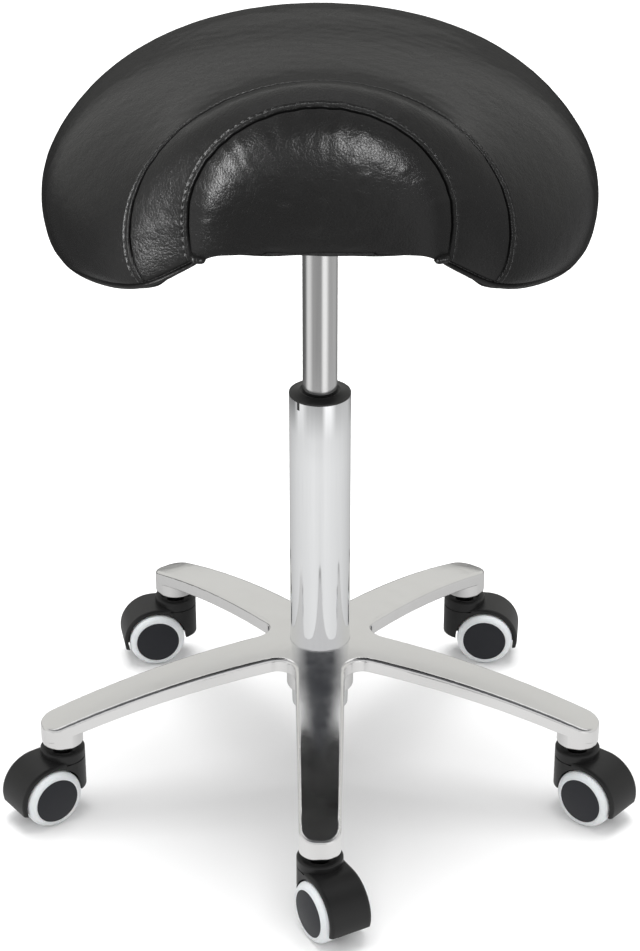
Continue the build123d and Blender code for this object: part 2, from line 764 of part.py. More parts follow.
# ---------------------------------------------------------------- one caster: stem on Z, trail along +X
def make_hood():
    """Moulded hood: a collar round the stem, a fender over both wheels and a web that holds the axle."""
    axle = (TRAIL, AXLE_HEIGHT)
    with BuildPart() as hood:
        # Side view: the fender's arc behind, a plain upright wall in front.
        with BuildSketch(Plane.XZ):
            with Locations(axle):
                Circle(HOOD_R)
            with Locations(((TRAIL - COLLAR_R) / 2, (AXLE_HEIGHT + HOOD_R) / 2)):
                Rectangle(TRAIL + COLLAR_R, AXLE_HEIGHT + HOOD_R)
            with Locations((TRAIL, 0)):
                Rectangle(4 * HOOD_R, 2 * HOOD_BOTTOM, mode=Mode.SUBTRACT)
            with Locations((TRAIL - WEB_HEEL - HOOD_R, 0)):
                Rectangle(2 * HOOD_R, 2 * (AXLE_HEIGHT - 1), mode=Mode.SUBTRACT)
        extrude(amount=HOOD_HALF_WIDTH, both=True)
        # Plan view: the front wall curves round the stem.
        with BuildSketch(Plane.XY):
            Circle(COLLAR_R)
            with Locations((HOOD_R, 0)):
                Rectangle(2 * HOOD_R, 2 * HOOD_HALF_WIDTH)
        extrude(amount=2 * HOOD_R, mode=Mode.INTERSECT)
        side_rims = hood.faces().filter_by(Axis.Y).edges().filter_by(GeomType.CIRCLE)
        fillet(side_rims, 3)
        with BuildSketch(Plane.XY.offset(COLLAR_LOW)):
            Circle(COLLAR_R)
        extrude(amount=HOOD_TOP - COLLAR_LOW)
        fillet(hood.faces().sort_by(Axis.Z)[-1].edges(), 2)
        # Wheel wells on both sides of the web.
        for side in (-1, 1):
            with BuildSketch(Plane.XZ.offset(side * HOOD_WEB_HALF)):
                with Locations(axle):
                    Circle(WHEEL_R + WHEEL_GAP)
            extrude(amount=side * HOOD_HALF_WIDTH, mode=Mode.SUBTRACT)
        # Fine groove under the collar.
        add(ring_profile(COLLAR_R - 0.6, COLLAR_R + 1, COLLAR_LOW - 0.6, COLLAR_LOW + 0.6))
        revolve(axis=Axis.Z, mode=Mode.SUBTRACT)
        # Recess round the stem, stem bore and axle bore.
        with BuildSketch(Plane.XY.offset(HOOD_TOP - COLLAR_RECESS_DEPTH)):
            Circle(COLLAR_RECESS_R)
            Circle(STEM_R + 2.5, mode=Mode.SUBTRACT)
        extrude(amount=COLLAR_RECESS_DEPTH, mode=Mode.SUBTRACT)
        with BuildSketch(Plane.XY.offset(STEM_BOTTOM - 1)):
            Circle(STEM_R + RUNNING_GAP)
        extrude(amount=HOOD_TOP, mode=Mode.SUBTRACT)
        with BuildSketch(Plane.XZ):
            with Locations(axle):
                Circle(AXLE_R)
        extrude(amount=HOOD_HALF_WIDTH, both=True, mode=Mode.SUBTRACT)
    return hood.part


def make_axle():
    """Steel axle pressed through the hood's web."""
    with BuildPart() as axle:
        with BuildSketch(Plane.XZ):
            with Locations((TRAIL, AXLE_HEIGHT)):
                Circle(AXLE_R)
        extrude(amount=WHEEL_OUTER_FACE - 4, both=True)
    return axle.part


def wheel_sketch_plane(side):
    """Section plane through the axle: local X is the distance along the axle, local Y the radius."""
    return Plane(origin=(TRAIL, 0, AXLE_HEIGHT), x_dir=(0, side, 0), z_dir=(side, 0, 0))


def make_wheel(side):
    """Nylon wheel core with a gently domed outer disc."""
    bore = AXLE_R + RUNNING_GAP
    rim = (WHEEL_OUTER_FACE - 0.6, WHEEL_DISC_R)
    middle = (WHEEL_OUTER_FACE + WHEEL_DOME, 0)
    halfway = (WHEEL_OUTER_FACE + 0.6 * WHEEL_DOME, WHEEL_DISC_R / 2)
    with BuildPart() as wheel:
        with BuildSketch(wheel_sketch_plane(side)):
            with BuildLine():
                Polyline(
                    rim,
                    (WHEEL_INNER_FACE, WHEEL_DISC_R),
                    (WHEEL_INNER_FACE, bore),
                    (WHEEL_OUTER_FACE - 3.5, bore),
                    (WHEEL_OUTER_FACE - 3.5, 0),
                    middle,
                )
                ThreePointArc(middle, halfway, rim)
            make_face()
        revolve(axis=Axis((TRAIL, 0, AXLE_HEIGHT), (0, 1, 0)))
    return wheel.part


def make_tyre(side):
    """Soft tread moulded round the wheel core, with a rounded shoulder on each side."""
    shoulder_start, shoulder_end = (WHEEL_OUTER_FACE, WHEEL_DISC_R + 1), (WHEEL_OUTER_FACE - 6, WHEEL_R)
    with BuildPart() as tyre:
        with BuildSketch(wheel_sketch_plane(side)):
            with BuildLine():
                Polyline(
                    (WHEEL_INNER_FACE, WHEEL_R - 1.5),
                    (WHEEL_INNER_FACE, WHEEL_DISC_R),
                    (WHEEL_OUTER_FACE - 0.4, WHEEL_DISC_R),
                    shoulder_start,
                )
                RadiusArc(shoulder_start, shoulder_end, -TYRE_SHOULDER_R)
                Polyline(
                    shoulder_end,
                    (WHEEL_INNER_FACE + 1.5, WHEEL_R),
                    (WHEEL_INNER_FACE, WHEEL_R - 1.5),
                )
            make_face()
        revolve(axis=Axis((TRAIL, 0, AXLE_HEIGHT), (0, 1, 0)))
    return tyre.part


def make_stems():
    """Five steel stems, each with a shoulder under the boss and a groove for its grip ring."""
    with BuildPart() as stem:
        with BuildSketch(Plane.XZ):
            with BuildLine():
                Polyline(
                    (0, STEM_BOTTOM),
                    (STEM_R - 1, STEM_BOTTOM),
                    (STEM_R, STEM_BOTTOM + 1),
                    (STEM_R, HOOD_TOP + 0.8),
                    (STEM_SHOULDER_R, HOOD_TOP + 0.8),
                    (STEM_SHOULDER_R, BOSS_BOTTOM),
                    (STEM_R, BOSS_BOTTOM),
                    (STEM_R, GRIP_RING_LOW),
                    (STEM_R - 1, GRIP_RING_LOW),
                    (STEM_R - 1, GRIP_RING_HIGH),
                    (STEM_R, GRIP_RING_HIGH),
                    (STEM_R, STEM_TOP - 1),
                    (STEM_R - 1, STEM_TOP),
                    (0, STEM_TOP),
                    close=True,
                )
            make_face()
        revolve(axis=Axis.Z)
    return Compound(children=[at_arm(angle) * stem.part for angle, _ in CASTERS.values()])


def make_grip_rings():
    """Five split spring rings that hold the stems in their sockets."""
    with BuildPart() as ring:
        add(ring_profile(STEM_R - 0.9, SOCKET_R, GRIP_RING_LOW + 0.2, GRIP_RING_HIGH - 0.2))
        revolve(axis=Axis.Z)
        with Locations((STEM_R, 0, (GRIP_RING_LOW + GRIP_RING_HIGH) / 2)):
            Box(6, 2.5, 6, mode=Mode.SUBTRACT)
    return Compound(children=[at_arm(angle) * ring.part for angle, _ in CASTERS.values()])


# ---------------------------------------------------------------- build and write every piece
def write_fixed_side():
    """The base, the column and what turns or rolls inside its foot."""
    save(make_base(), "base_casting")
    save(make_column_tube(), "column_tube")
    save(make_column_bush(), "column_bush")
    save(make_bumper(), "bump_stop")
    save(make_race(BEARING_Z, ROD_R + 1.5), "bearing_lower_race")
    save(make_race(UPPER_RACE_Z, ROD_R), "bearing_upper_race")
    save(make_balls(), "bearing_balls")
    save(make_cage(), "bearing_cage_ring")
    save(make_stems(), "caster_stems")
    save(make_grip_rings(), "stem_grip_rings")


def write_lift():
    """The piston rod's group and the rising cylinder's group."""
    save(make_rod(), "piston_rod")
    save(make_clip(), "rod_clip")
    save(make_piston(), "piston")
    save(make_piston_ring(), "piston_ring")
    save(make_cylinder(), "gas_cylinder")
    save(make_gland(), "cylinder_gland")
    save(make_valve_pin(), "valve_pin")


def write_seat():
    """Everything that rises and turns with the seat."""
    cover, foam, pan, dust = make_seat()
    save(cover, "seat_cover")
    save(foam, "seat_foam")
    save(pan, "seat_pan")
    save(dust, "dust_cover")
    save(make_seat_plate(), "seat_plate")
    save(make_bolts(), "seat_bolts")
    save(make_washers(), "bolt_washers")
    save(make_tee_nuts(), "tee_nuts")
    save(make_lever(), "height_lever")
    save(make_lever_grip(), "lever_grip")
    save(make_pivot_pin(), "lever_pivot_pin")


def write_casters():
    """The same caster five times, each turned to its own heading."""
    hood, axle = make_hood(), make_axle()
    wheels = {"left": make_wheel(1), "right": make_wheel(-1)}
    tyres = {"left": make_tyre(1), "right": make_tyre(-1)}
    for name, (angle, heading) in CASTERS.items():
        place = at_arm(angle) * Rotation(0, 0, heading)
        save(place * hood, f"caster_{name}_hood")
        save(place * axle, f"caster_{name}_axle")
        for side in ("left", "right"):
            save(place * wheels[side], f"caster_{name}_wheel_{side}")
            save(place * tyres[side], f"caster_{name}_tyre_{side}")


write_fixed_side()
write_lift()
write_seat()
write_casters()
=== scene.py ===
"""Rolling saddle stool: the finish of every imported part, the sewn seat and the studio around it."""
import json
import math

import bpy
import bmesh
import numpy as np
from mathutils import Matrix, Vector


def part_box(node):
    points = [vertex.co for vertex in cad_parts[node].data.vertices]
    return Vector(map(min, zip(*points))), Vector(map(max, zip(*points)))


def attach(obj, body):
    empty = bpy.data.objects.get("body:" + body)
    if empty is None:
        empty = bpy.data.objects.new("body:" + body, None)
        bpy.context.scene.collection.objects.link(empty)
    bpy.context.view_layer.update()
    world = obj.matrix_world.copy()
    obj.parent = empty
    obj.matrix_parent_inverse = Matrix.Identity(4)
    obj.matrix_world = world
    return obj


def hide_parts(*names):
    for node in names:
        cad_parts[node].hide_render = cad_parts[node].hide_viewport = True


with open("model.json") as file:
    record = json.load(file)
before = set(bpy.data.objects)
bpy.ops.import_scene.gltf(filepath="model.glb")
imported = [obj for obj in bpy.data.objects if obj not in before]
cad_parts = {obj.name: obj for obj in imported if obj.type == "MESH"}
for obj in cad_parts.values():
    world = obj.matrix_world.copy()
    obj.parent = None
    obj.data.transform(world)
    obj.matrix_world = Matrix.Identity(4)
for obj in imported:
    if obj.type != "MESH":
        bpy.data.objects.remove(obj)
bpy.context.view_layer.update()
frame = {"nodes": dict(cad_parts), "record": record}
MM = 0.001


# ---------------------------------------------------------------- node helpers
class Surface:
    """A material or world whose node tree is built one short call at a time."""

    def __init__(self, name, kind=bpy.data.materials, place="Object"):
        self.owner = kind.new(name)
        self.owner.use_nodes = True
        self.tree = self.owner.node_tree
        self.tree.nodes.clear()
        self.place = self.add("ShaderNodeTexCoord", {})[place]

    def add(self, kind, inputs, **settings):
        """Adds a node; inputs maps a socket's name or number to a value or to another node's output."""
        node = self.tree.nodes.new(kind)
        for key, value in settings.items():
            setattr(node, key, value)
        for key, value in inputs.items():
            socket = node.inputs[key]
            if isinstance(value, bpy.types.NodeSocket):
                self.tree.links.new(value, socket)
            else:
                socket.default_value = value
        return node.outputs

    def noise(self, scale, detail=3.0, rough=0.55, place=None):
        inputs = {"Vector": place or self.place, "Scale": scale, "Detail": detail, "Roughness": rough}
        return self.add("ShaderNodeTexNoise", inputs)["Fac"]

    def cells(self, scale, feature="F1", place=None):
        inputs = {"Vector": place or self.place, "Scale": scale}
        return self.add("ShaderNodeTexVoronoi", inputs, feature=feature)["Distance"]

    def math(self, operation, a, b=0.0, c=0.0):
        return self.add("ShaderNodeMath", {0: a, 1: b, 2: c}, operation=operation)[0]

    def scaled(self, x, y, z, place=None):
        inputs = {"Vector": place or self.place, "Scale": (x, y, z)}
        return self.add("ShaderNodeMapping", inputs)[0]

    def warped(self, amount, scale):
        """Object coordinates pushed about by noise, so that a pattern drawn on them isn't regular."""
        noise = {"Vector": self.place, "Scale": scale, "Detail": 2.0}
        push = self.add("ShaderNodeTexNoise", noise)["Color"]
        centred = self.add("ShaderNodeVectorMath", {0: push, 1: (0.5, 0.5, 0.5)}, operation="SUBTRACT")[0]
        moved = self.add("ShaderNodeVectorMath", {0: centred, 3: amount}, operation="SCALE")[0]
        return self.add("ShaderNodeVectorMath", {0: self.place, 1: moved}, operation="ADD")[0]

    def span(self, value, low, high, start=0.0, end=1.0):
        """Value from start..end mapped to low..high and held there outside."""
        inputs = {"Value": value, "From Min": start, "From Max": end, "To Min": low, "To Max": high}
        return self.add("ShaderNodeMapRange", inputs)["Result"]

    def blend(self, share, first, second):
        inputs = {"Factor": share, 6: first, 7: second}
        return self.add("ShaderNodeMix", inputs, data_type="RGBA")[2]

    def tint(self, share, dark, light):
        return self.blend(share, (*dark, 1.0), (*light, 1.0))

    def ramp(self, share, stops):
        """Grey level read from (place, level) stops."""
        colour = self.add("ShaderNodeValToRGB", {"Fac": share})["Color"]
        elements = colour.node.color_ramp.elements
        while len(elements) < len(stops):
            elements.new(0.5)
        for element, (place, level) in zip(elements, stops):
            element.position = place
            element.color = (level, level, level, 1)
        return colour

    def bump(self, height, depth, under=None):
        """Normal of a height field that is depth metres deep."""
        inputs = {"Height": height, "Distance": depth, "Strength": 1.0}
        if under is not None:
            inputs["Normal"] = under
        return self.add("ShaderNodeBump", inputs)[0]

    def rounded(self, radius):
        """Normal that softens hard edges by this radius."""
        return self.add("ShaderNodeBevel", {"Radius": radius}, samples=4)[0]

    def finish(self, **inputs):
        named = {key.replace("_", " "): value for key, value in inputs.items()}
        self.shader = self.add("ShaderNodeBsdfPrincipled", named)["BSDF"]
        self.add("ShaderNodeOutputMaterial", {"Surface": self.shader}, name="end")
        return self.owner

    def mixed_with(self, other, share):
        """Replaces a share of the finished shader by another one."""
        both = self.add("ShaderNodeMixShader", {0: share, 1: self.shader, 2: other})["Shader"]
        self.tree.links.new(both, self.tree.nodes["end"].inputs["Surface"])
        return self.owner


def grey(value, warmth=0.0):
    return (value * (1 + warmth), value, value * (1 - warmth))


# ---------------------------------------------------------------- materials
def leather(name):
    """Black coated leather: pebbles, hair creases and pores, duller at its outline and with painted shade in
    its seams.
    """
    s = Surface(name)
    place = s.warped(1.6 * MM, 260)
    pebbles = s.math("POWER", s.cells(430, "DISTANCE_TO_EDGE", place), 0.5)
    creases = s.math("POWER", s.cells(150, "DISTANCE_TO_EDGE", s.warped(5 * MM, 120)), 0.35)
    pores = s.noise(1400, 2)
    swell = s.noise(90, 2)
    height = s.math("MULTIPLY_ADD", creases, 0.55, s.math("MULTIPLY", pebbles, 0.55))
    height = s.math("MULTIPLY_ADD", pores, 0.12, height)
    height = s.math("MULTIPLY_ADD", swell, 0.9, height)
    worn = s.noise(14, 3)
    # painted shade: in the seams the colour goes near black and the gloss is taken away, where little light
    # gets in
    painted_seam_shade = s.add("ShaderNodeAttribute", {}, attribute_name="painted_seam_shade")["Fac"]
    colour = s.blend(painted_seam_shade, s.tint(worn, grey(0.0030), grey(0.0055, 0.02)), (*grey(0.0008), 1.0))
    rough = s.math("MULTIPLY_ADD", pores, 0.08, s.span(worn, 0.20, 0.28))
    normal = s.bump(height, 0.24 * MM)
    grazing = s.add("ShaderNodeLayerWeight", {"Blend": 0.5})["Facing"]
    lit = s.math("SUBTRACT", 1.0, painted_seam_shade)
    specular = s.math("MULTIPLY", s.span(grazing, 0.20, 0.12, 0.30, 0.70), lit)
    s.finish(Base_Color=colour, Roughness=rough, Normal=normal, Specular_IOR_Level=specular)
    matt = s.add("ShaderNodeBsdfDiffuse", {"Color": colour, "Normal": normal})["BSDF"]
    return s.mixed_with(matt, s.span(grazing, 0.0, 0.66, 0.66, 0.775))


def thread(name):
    """Bonded black thread, twisted."""
    s = Surface(name)
    waves = {"Vector": s.place, "Scale": 900.0, "Distortion": 1.5}
    twist = s.add("ShaderNodeTexWave", waves, bands_direction="DIAGONAL")["Fac"]
    colour = s.tint(twist, grey(0.008), grey(0.022))
    normal = s.bump(twist, 0.1 * MM)
    return s.finish(Base_Color=colour, Roughness=0.32, Normal=normal, Specular_IOR_Level=0.35)


def polished_aluminium(name):
    """Die-cast aluminium, polished by hand: soft cast waviness, fine polishing lines and cloudy patches."""
    s = Surface(name)
    waves = s.noise(28, 2)
    cloud = s.noise(60, 4)
    lines = s.noise(220, 3, 0.7, s.scaled(1, 1, 9))
    grain = s.noise(2600, 2)
    colour = s.tint(cloud, grey(0.80, 0.01), grey(0.88, 0.005))
    rough = s.math("MULTIPLY_ADD", lines, 0.08, s.span(cloud, 0.05, 0.15, 0.3, 0.75))
    soft = s.bump(waves, 0.14 * MM, s.rounded(0.9 * MM))
    fine = s.bump(grain, 0.004 * MM, soft)
    return s.finish(Base_Color=colour, Metallic=1.0, Roughness=rough, Normal=fine)


def chrome(name):
    """Bright chrome plate over drawn tube: nearly a mirror, with faint draw marks and wipe marks."""
    s = Surface(name)
    draw = s.noise(500, 3, 0.7, s.scaled(1, 1, 0.02))
    wipes = s.noise(35, 4)
    rough = s.math("MULTIPLY_ADD", draw, 0.03, s.span(wipes, 0.035, 0.11, 0.35, 0.8))
    colour = s.tint(draw, grey(0.84, -0.01), grey(0.90, -0.008))
    normal = s.bump(draw, 0.006 * MM, s.rounded(0.4 * MM))
    return s.finish(Base_Color=colour, Metallic=1.0, Roughness=rough, Normal=normal)


def ground_steel(name):
    """Ground steel tube: lengthwise shading from drawing and fine rings from the grinding wheel."""
    s = Surface(name)
    stripes = s.noise(260, 3, 0.6, s.scaled(1, 1, 0.015))
    rings = s.noise(1500, 2, 0.5, s.scaled(0.03, 0.03, 1))
    colour = s.tint(stripes, grey(0.60), grey(0.76, 0.005))
    rough = s.math("MULTIPLY_ADD", rings, 0.08, s.span(stripes, 0.10, 0.18))
    normal = s.bump(rings, 0.006 * MM, s.rounded(0.4 * MM))
    return s.finish(Base_Color=colour, Metallic=1.0, Roughness=rough, Normal=normal, Anisotropic=0.5)


def zinc_steel(name):
    """Zinc-plated small steel part, a little blue and cloudy."""
    s = Surface(name)
    cloud = s.noise(400, 3)
    colour = s.tint(cloud, (0.42, 0.43, 0.45), (0.62, 0.62, 0.60))
    normal = s.bump(s.noise(2500, 2), 0.01 * MM, s.rounded(0.25 * MM))
    return s.finish(Base_Color=colour, Metallic=1.0, Roughness=s.span(cloud, 0.22, 0.4), Normal=normal)


def powder_coat(name):
    """Black powder coat with orange peel, rubbed thinner in patches."""
    s = Surface(name)
    peel = s.noise(700, 2)
    rub = s.noise(120, 4)
    colour = s.tint(rub, grey(0.012), grey(0.03))
    normal = s.bump(peel, 0.05 * MM, s.rounded(0.5 * MM))
    return s.finish(Base_Color=colour, Roughness=s.span(rub, 0.30, 0.45), Normal=normal)


def moulded(name, dark, light, gloss_low, gloss_high, texture=0.03):
    """Moulded plastic: fine spark texture, flow clouds and handling scuffs."""
    s = Surface(name)
    spark = s.noise(2200, 2, 0.6)
    flow = s.noise(45, 3)
    scuffs = s.noise(160, 5, 0.75, s.scaled(1, 1, 3))
    colour = s.tint(flow, dark, light)
    rough = s.math("MULTIPLY_ADD", scuffs, 0.10, s.span(flow, gloss_low, gloss_high))
    normal = s.bump(spark, texture * MM, s.rounded(0.5 * MM))
    return s.finish(Base_Color=colour, Roughness=rough, Normal=normal, Specular_IOR_Level=0.4)


def tyre_rubber(name):
    """Pale grey polyurethane tread, a touch dirty in scattered specks."""
    s = Surface(name)
    cloud = s.noise(220, 4)
    specks = s.noise(900, 3, 0.7)
    dirt = s.math("MULTIPLY", s.span(specks, 0.0, 1.0, 0.55, 0.75), s.span(cloud, 0.0, 0.5))
    colour = s.tint(dirt, (0.70, 0.71, 0.72), (0.45, 0.44, 0.42))
    rough = s.span(cloud, 0.42, 0.6)
    normal = s.bump(specks, 0.02 * MM, s.rounded(0.5 * MM))
    return s.finish(Base_Color=colour, Roughness=rough, Normal=normal, Subsurface_Weight=0.05)


def black_rubber(name):
    """Black rubber with a greyish bloom."""
    s = Surface(name)
    bloom = s.noise(300, 4)
    colour = s.tint(bloom, grey(0.012), grey(0.035))
    return s.finish(Base_Color=colour, Roughness=s.span(bloom, 0.55, 0.8), Normal=s.bump(bloom, 0.05 * MM))


def plywood(name):
    """Birch plywood: long grain on the faces and plies on the edge."""
    s = Surface(name)
    grain = s.noise(90, 4, 0.6, s.scaled(1, 0.08, 1))
    waves = {"Vector": s.place, "Scale": 260.0, "Distortion": 0.3}
    plies = s.add("ShaderNodeTexWave", waves, bands_direction="Z")["Fac"]
    share = s.math("MULTIPLY_ADD", plies, 0.25, s.math("MULTIPLY", grain, 0.8))
    colour = s.tint(share, (0.33, 0.22, 0.12), (0.62, 0.46, 0.29))
    return s.finish(Base_Color=colour, Roughness=0.62, Normal=s.bump(grain, 0.06 * MM))


def dust_cloth(name):
    """Black spun-bonded dust cloth with its pressed diamond dots."""
    s = Surface(name)
    fibres = s.noise(1500, 4, 0.8, s.scaled(1, 0.5, 1))
    dots = s.span(s.cells(520), 0.0, 1.0, 0.15, 0.45)
    height = s.math("MULTIPLY_ADD", fibres, 0.6, dots)
    colour = s.tint(fibres, grey(0.008), grey(0.028))
    normal = s.bump(height, 0.12 * MM)
    return s.finish(Base_Color=colour, Roughness=0.85, Normal=normal, Sheen_Weight=0.1)


def make_materials():
    """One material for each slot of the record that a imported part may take."""
    return {
        "base_aluminium": polished_aluminium("polished_aluminium"),
        "column_chrome": chrome("chrome_plate"),
        "lift_steel": ground_steel("ground_steel"),
        "steel": zinc_steel("zinc_steel"),
        "black_steel": powder_coat("powder_coat"),
        "bush_plastic": moulded("bush_plastic", grey(0.012), grey(0.022), 0.32, 0.45),
        "bearing_plastic": moulded("bearing_plastic", (0.60, 0.58, 0.50), (0.72, 0.70, 0.62), 0.35, 0.5),
        "grip_plastic": moulded("grip_plastic", grey(0.012), grey(0.020), 0.35, 0.5, 0.08),
        "hood_plastic": moulded("hood_plastic", grey(0.006), grey(0.010), 0.30, 0.42),
        "wheel_plastic": moulded("wheel_plastic", (0.008, 0.009, 0.013), (0.012, 0.013, 0.018), 0.36, 0.5),
        "tyre": tyre_rubber("tyre_urethane"),
        "rubber": black_rubber("black_rubber"),
        "plywood": plywood("birch_plywood"),
        "foam": leather("foam_skin"),
        "seat_leather": leather("seat_leather"),
        "dust_cloth": dust_cloth("dust_cloth"),
    }


def dress_packed_parts(materials):
    """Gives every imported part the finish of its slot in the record."""
    for part in frame["record"]["subparts"]:
        mesh = frame["nodes"][part["node"]].data
        mesh.materials.clear()
        mesh.materials.append(materials[part["material_slot"]])


# ---------------------------------------------------------------- the saddle's form
# The saddle is a row of leaning arches from the front hem's middle to the rear hem's middle, in mm. Each
# holds its top (y, z), its foot (y, z), its half width, its foot's half width and the share of its rise at
# which it is widest.
FRONT_HEM = (-178, 546, -178, 545, 0.5, 0.5, 0.30)
FRONT_PANEL = [
    (-182, 561, -178, 544, 30, 27, 0.30),
    (-184, 590, -178, 544, 52, 46, 0.30),
    (-181, 616, -177.5, 543, 69, 62, 0.30),
    (-171, 636, -174, 540, 84, 77, 0.29),
]
INNER_SEAM = (-153, 650, -165, 529, 99, 91, 0.28)
POMMEL = [(-130, 655, -158, 518, 120, 106, 0.25)]
OUTER_SEAM = (-100, 647, -150, 507, 144, 125, 0.25)
SADDLE = [
    (-40, 637, -95, 487, 190, 162, 0.255),
    (30, 635, -25, 479, 215, 190, 0.28),
    (90, 632, 40, 481, 210, 182, 0.315),
    (135, 630, 95, 489, 189, 157, 0.35),
    (163, 620, 131, 501, 160, 120, 0.39),
    (178, 600, 161, 513, 124, 82, 0.43),
    (184, 578, 178, 536, 78, 52, 0.45),
]
REAR_HEM = (182, 546, 181.5, 545, 0.5, 0.5, 0.45)
ARCHES = np.array([FRONT_HEM, *FRONT_PANEL, INNER_SEAM, *POMMEL, OUTER_SEAM, *SADDLE, REAR_HEM])
INNER_ROW = 1 + len(FRONT_PANEL)
OUTER_ROW = INNER_ROW + 1 + len(POMMEL)

HEM_BAND = (3.0, 16.0)         # height of the strip under the hem seam, at the front panel and at the sides
HEM_BAND_RISE = (-172, -95)    # y between which the strip grows
HEM_BAND_SHARE = 0.12          # the strip is never more than this much of an arch's side
PAN_UNDERSIDE = 544.0
UNDERSIDE_KNOTS = [(62, 544, 0.0), (107, 518, -1.05), (166, 455, -1.67)]   # x, z and slope
QUARTER_POINTS = 90            # points of each quarter turn of an arch
UNDER_POINTS = 160             # points of half an underside
CLOSER, CLOSER_REACH = 0.68, 0.07   # how much closer the body's columns lie at the hem, and up to where


def spline(knots, values, at):
    """Natural cubic spline through values at the knots, read at the given places."""
    gaps = np.diff(knots)
    slopes = np.diff(values, axis=0) / gaps[:, None]
    count = len(knots)
    matrix = np.eye(count)
    right = np.zeros_like(values)
    for i in range(1, count - 1):
        matrix[i, i - 1:i + 2] = gaps[i - 1], 2 * (gaps[i - 1] + gaps[i]), gaps[i]
        right[i] = 6 * (slopes[i] - slopes[i - 1])
    bends = np.linalg.solve(matrix, right)
    i = np.clip(np.searchsorted(knots, at, side="right") - 1, 0, count - 2)
    gap = gaps[i][:, None]
    a = (knots[i + 1] - at)[:, None] / gap
    b = 1 - a
    curve = a * values[i] + b * values[i + 1]
    return curve + ((a**3 - a) * bends[i] + (b**3 - b) * bends[i + 1]) * gap**2 / 6


def arch_places():
    """Distance of each arch from the front hem, measured over the top."""
    steps = np.hypot(*np.diff(ARCHES[:, :2], axis=0).T)
    return np.concatenate([[0], np.cumsum(steps)])


def underside(x):
    """Height of the curved seat pan's lower face at x, in mm."""
    x = np.abs(x)
    z = np.full_like(x, PAN_UNDERSIDE)
    for (x0, z0, m0), (x1, z1, m1) in zip(UNDERSIDE_KNOTS, UNDERSIDE_KNOTS[1:]):
        gap = x1 - x0
        t = np.clip((x - x0) / gap, 0, 1)
        piece = (1 + 2 * t) * (1 - t)**2 * z0 + t * (1 - t)**2 * gap * m0
        piece += t * t * (3 - 2 * t) * z1 + t * t * (t - 1) * gap * m1
        z = np.where(x > x0, piece, z)
    return z


def resample(points, places):
    """Points of a polyline at the given distances from its start."""
    steps = np.linalg.norm(np.diff(points, axis=0), axis=1)
    run = np.concatenate([[0], np.cumsum(steps)])
    return np.stack([np.interp(places, run, points[:, k]) for k in range(3)], axis=1)


def length_of(points):
    return np.linalg.norm(np.diff(points, axis=0), axis=1).sum()


def half_arch(arch):
    """Right half of an arch as a fine polyline, from its foot to its top, in mm."""
    top_y, top_z, foot_y, foot_z, half, foot, share = arch
    rise = math.hypot(top_y - foot_y, top_z - foot_z)
    waist = share * rise
    turn = np.linspace(0, math.pi / 2, QUARTER_POINTS)
    lower = np.stack([foot + (half - foot) * np.sin(turn), waist * (1 - np.cos(turn))], axis=1)
    upper = np.stack([half * np.cos(turn), waist + (rise - waist) * np.sin(turn)], axis=1)
    side = np.vstack([lower, upper[1:]])
    up = side[:, 1] / rise
    return np.stack([side[:, 0], foot_y + (top_y - foot_y) * up, foot_z + (top_z - foot_z) * up], axis=1)


def half_under(arch):
    """Right half of the closed underside of an arch, from the middle out to its foot, in mm."""
    foot_y, foot_z, foot = arch[2], arch[3], arch[5]
    x = np.linspace(0, foot, UNDER_POINTS)
    z = np.maximum(underside(x), foot_z)
    return np.stack([x, np.full_like(x, foot_y), z], axis=1)


def column_places(columns):
    """Shares of the hem band and of the body at which columns lie; the body's are closer near the hem."""
    hem = np.linspace(0, 1, columns["hem"] + 1)
    even = np.linspace(0, 1, columns["body"] + 1)[1:]
    drawn = CLOSER * CLOSER_REACH
    body = (even - drawn * (1 - np.exp(-even / CLOSER_REACH))) / (1 - drawn)
    return hem, body / body[-1]


def half_loop(arch, columns):
    """Right half of one closed section: the underside's middle, foot, hem seam and up to the top, in mm."""
    under, side = half_under(arch), half_arch(arch)
    long_under, long_side = length_of(under), length_of(side)
    hem, body = column_places(columns)
    band = min(np.interp(arch[2], HEM_BAND_RISE, HEM_BAND), HEM_BAND_SHARE * long_side)
    below = resample(under, np.linspace(0, long_under, columns["under"] + 1))
    above = resample(side, np.concatenate([hem * band, band + body * (long_side - band)]))
    return np.vstack([below, above[1:]])


def saddle_grid(rows, columns):
    """Closed sections of the saddle at the given distances over the top: rows x columns x 3, in m."""
    arches = spline(arch_places(), ARCHES, rows)
    loops = []
    for arch in arches:
        right = half_loop(arch, columns)
        left = right[::-1][1:-1] * (-1, 1, 1)
        loops.append(np.vstack([right, left]))
    return np.array(loops) * MM


def grid_faces(rows, columns):
    """Quads of a grid whose columns close on themselves, with the two end rows capped by fans of faces."""
    faces = []
    for r in range(rows - 1):
        for c in range(columns):
            d = (c + 1) % columns
            a, b = r * columns, (r + 1) * columns
            faces.append((a + c, b + c, b + d, a + d))
    faces.append(tuple(range(columns)))
    faces.append(tuple((rows - 1) * columns + c for c in range(columns))[::-1])
    return faces


def new_mesh(name, points, faces, material, smooth=True):
    """A new object in the scene, with its faces turned outward."""
    mesh = bpy.data.meshes.new(name)
    mesh.from_pydata([tuple(p) for p in points], [], faces)
    mesh.materials.append(material)
    mesh.polygons.foreach_set("use_smooth", [smooth] * len(mesh.polygons))
    whole = bmesh.new()
    whole.from_mesh(mesh)
    bmesh.ops.recalc_face_normals(whole, faces=whole.faces)
    whole.to_mesh(mesh)
    whole.free()
    piece = bpy.data.objects.new(name, mesh)
    bpy.context.scene.collection.objects.link(piece)
    return piece


def grid_normals(grid):
    """Outward unit normals of a grid whose columns close on themselves."""
    along = np.gradient(grid, axis=0)
    across = np.roll(grid, -1, axis=1) - np.roll(grid, 1, axis=1)
    normals = np.cross(along, across)
    size = np.linalg.norm(normals, axis=2, keepdims=True)
    return normals / np.maximum(size, 1e-12)


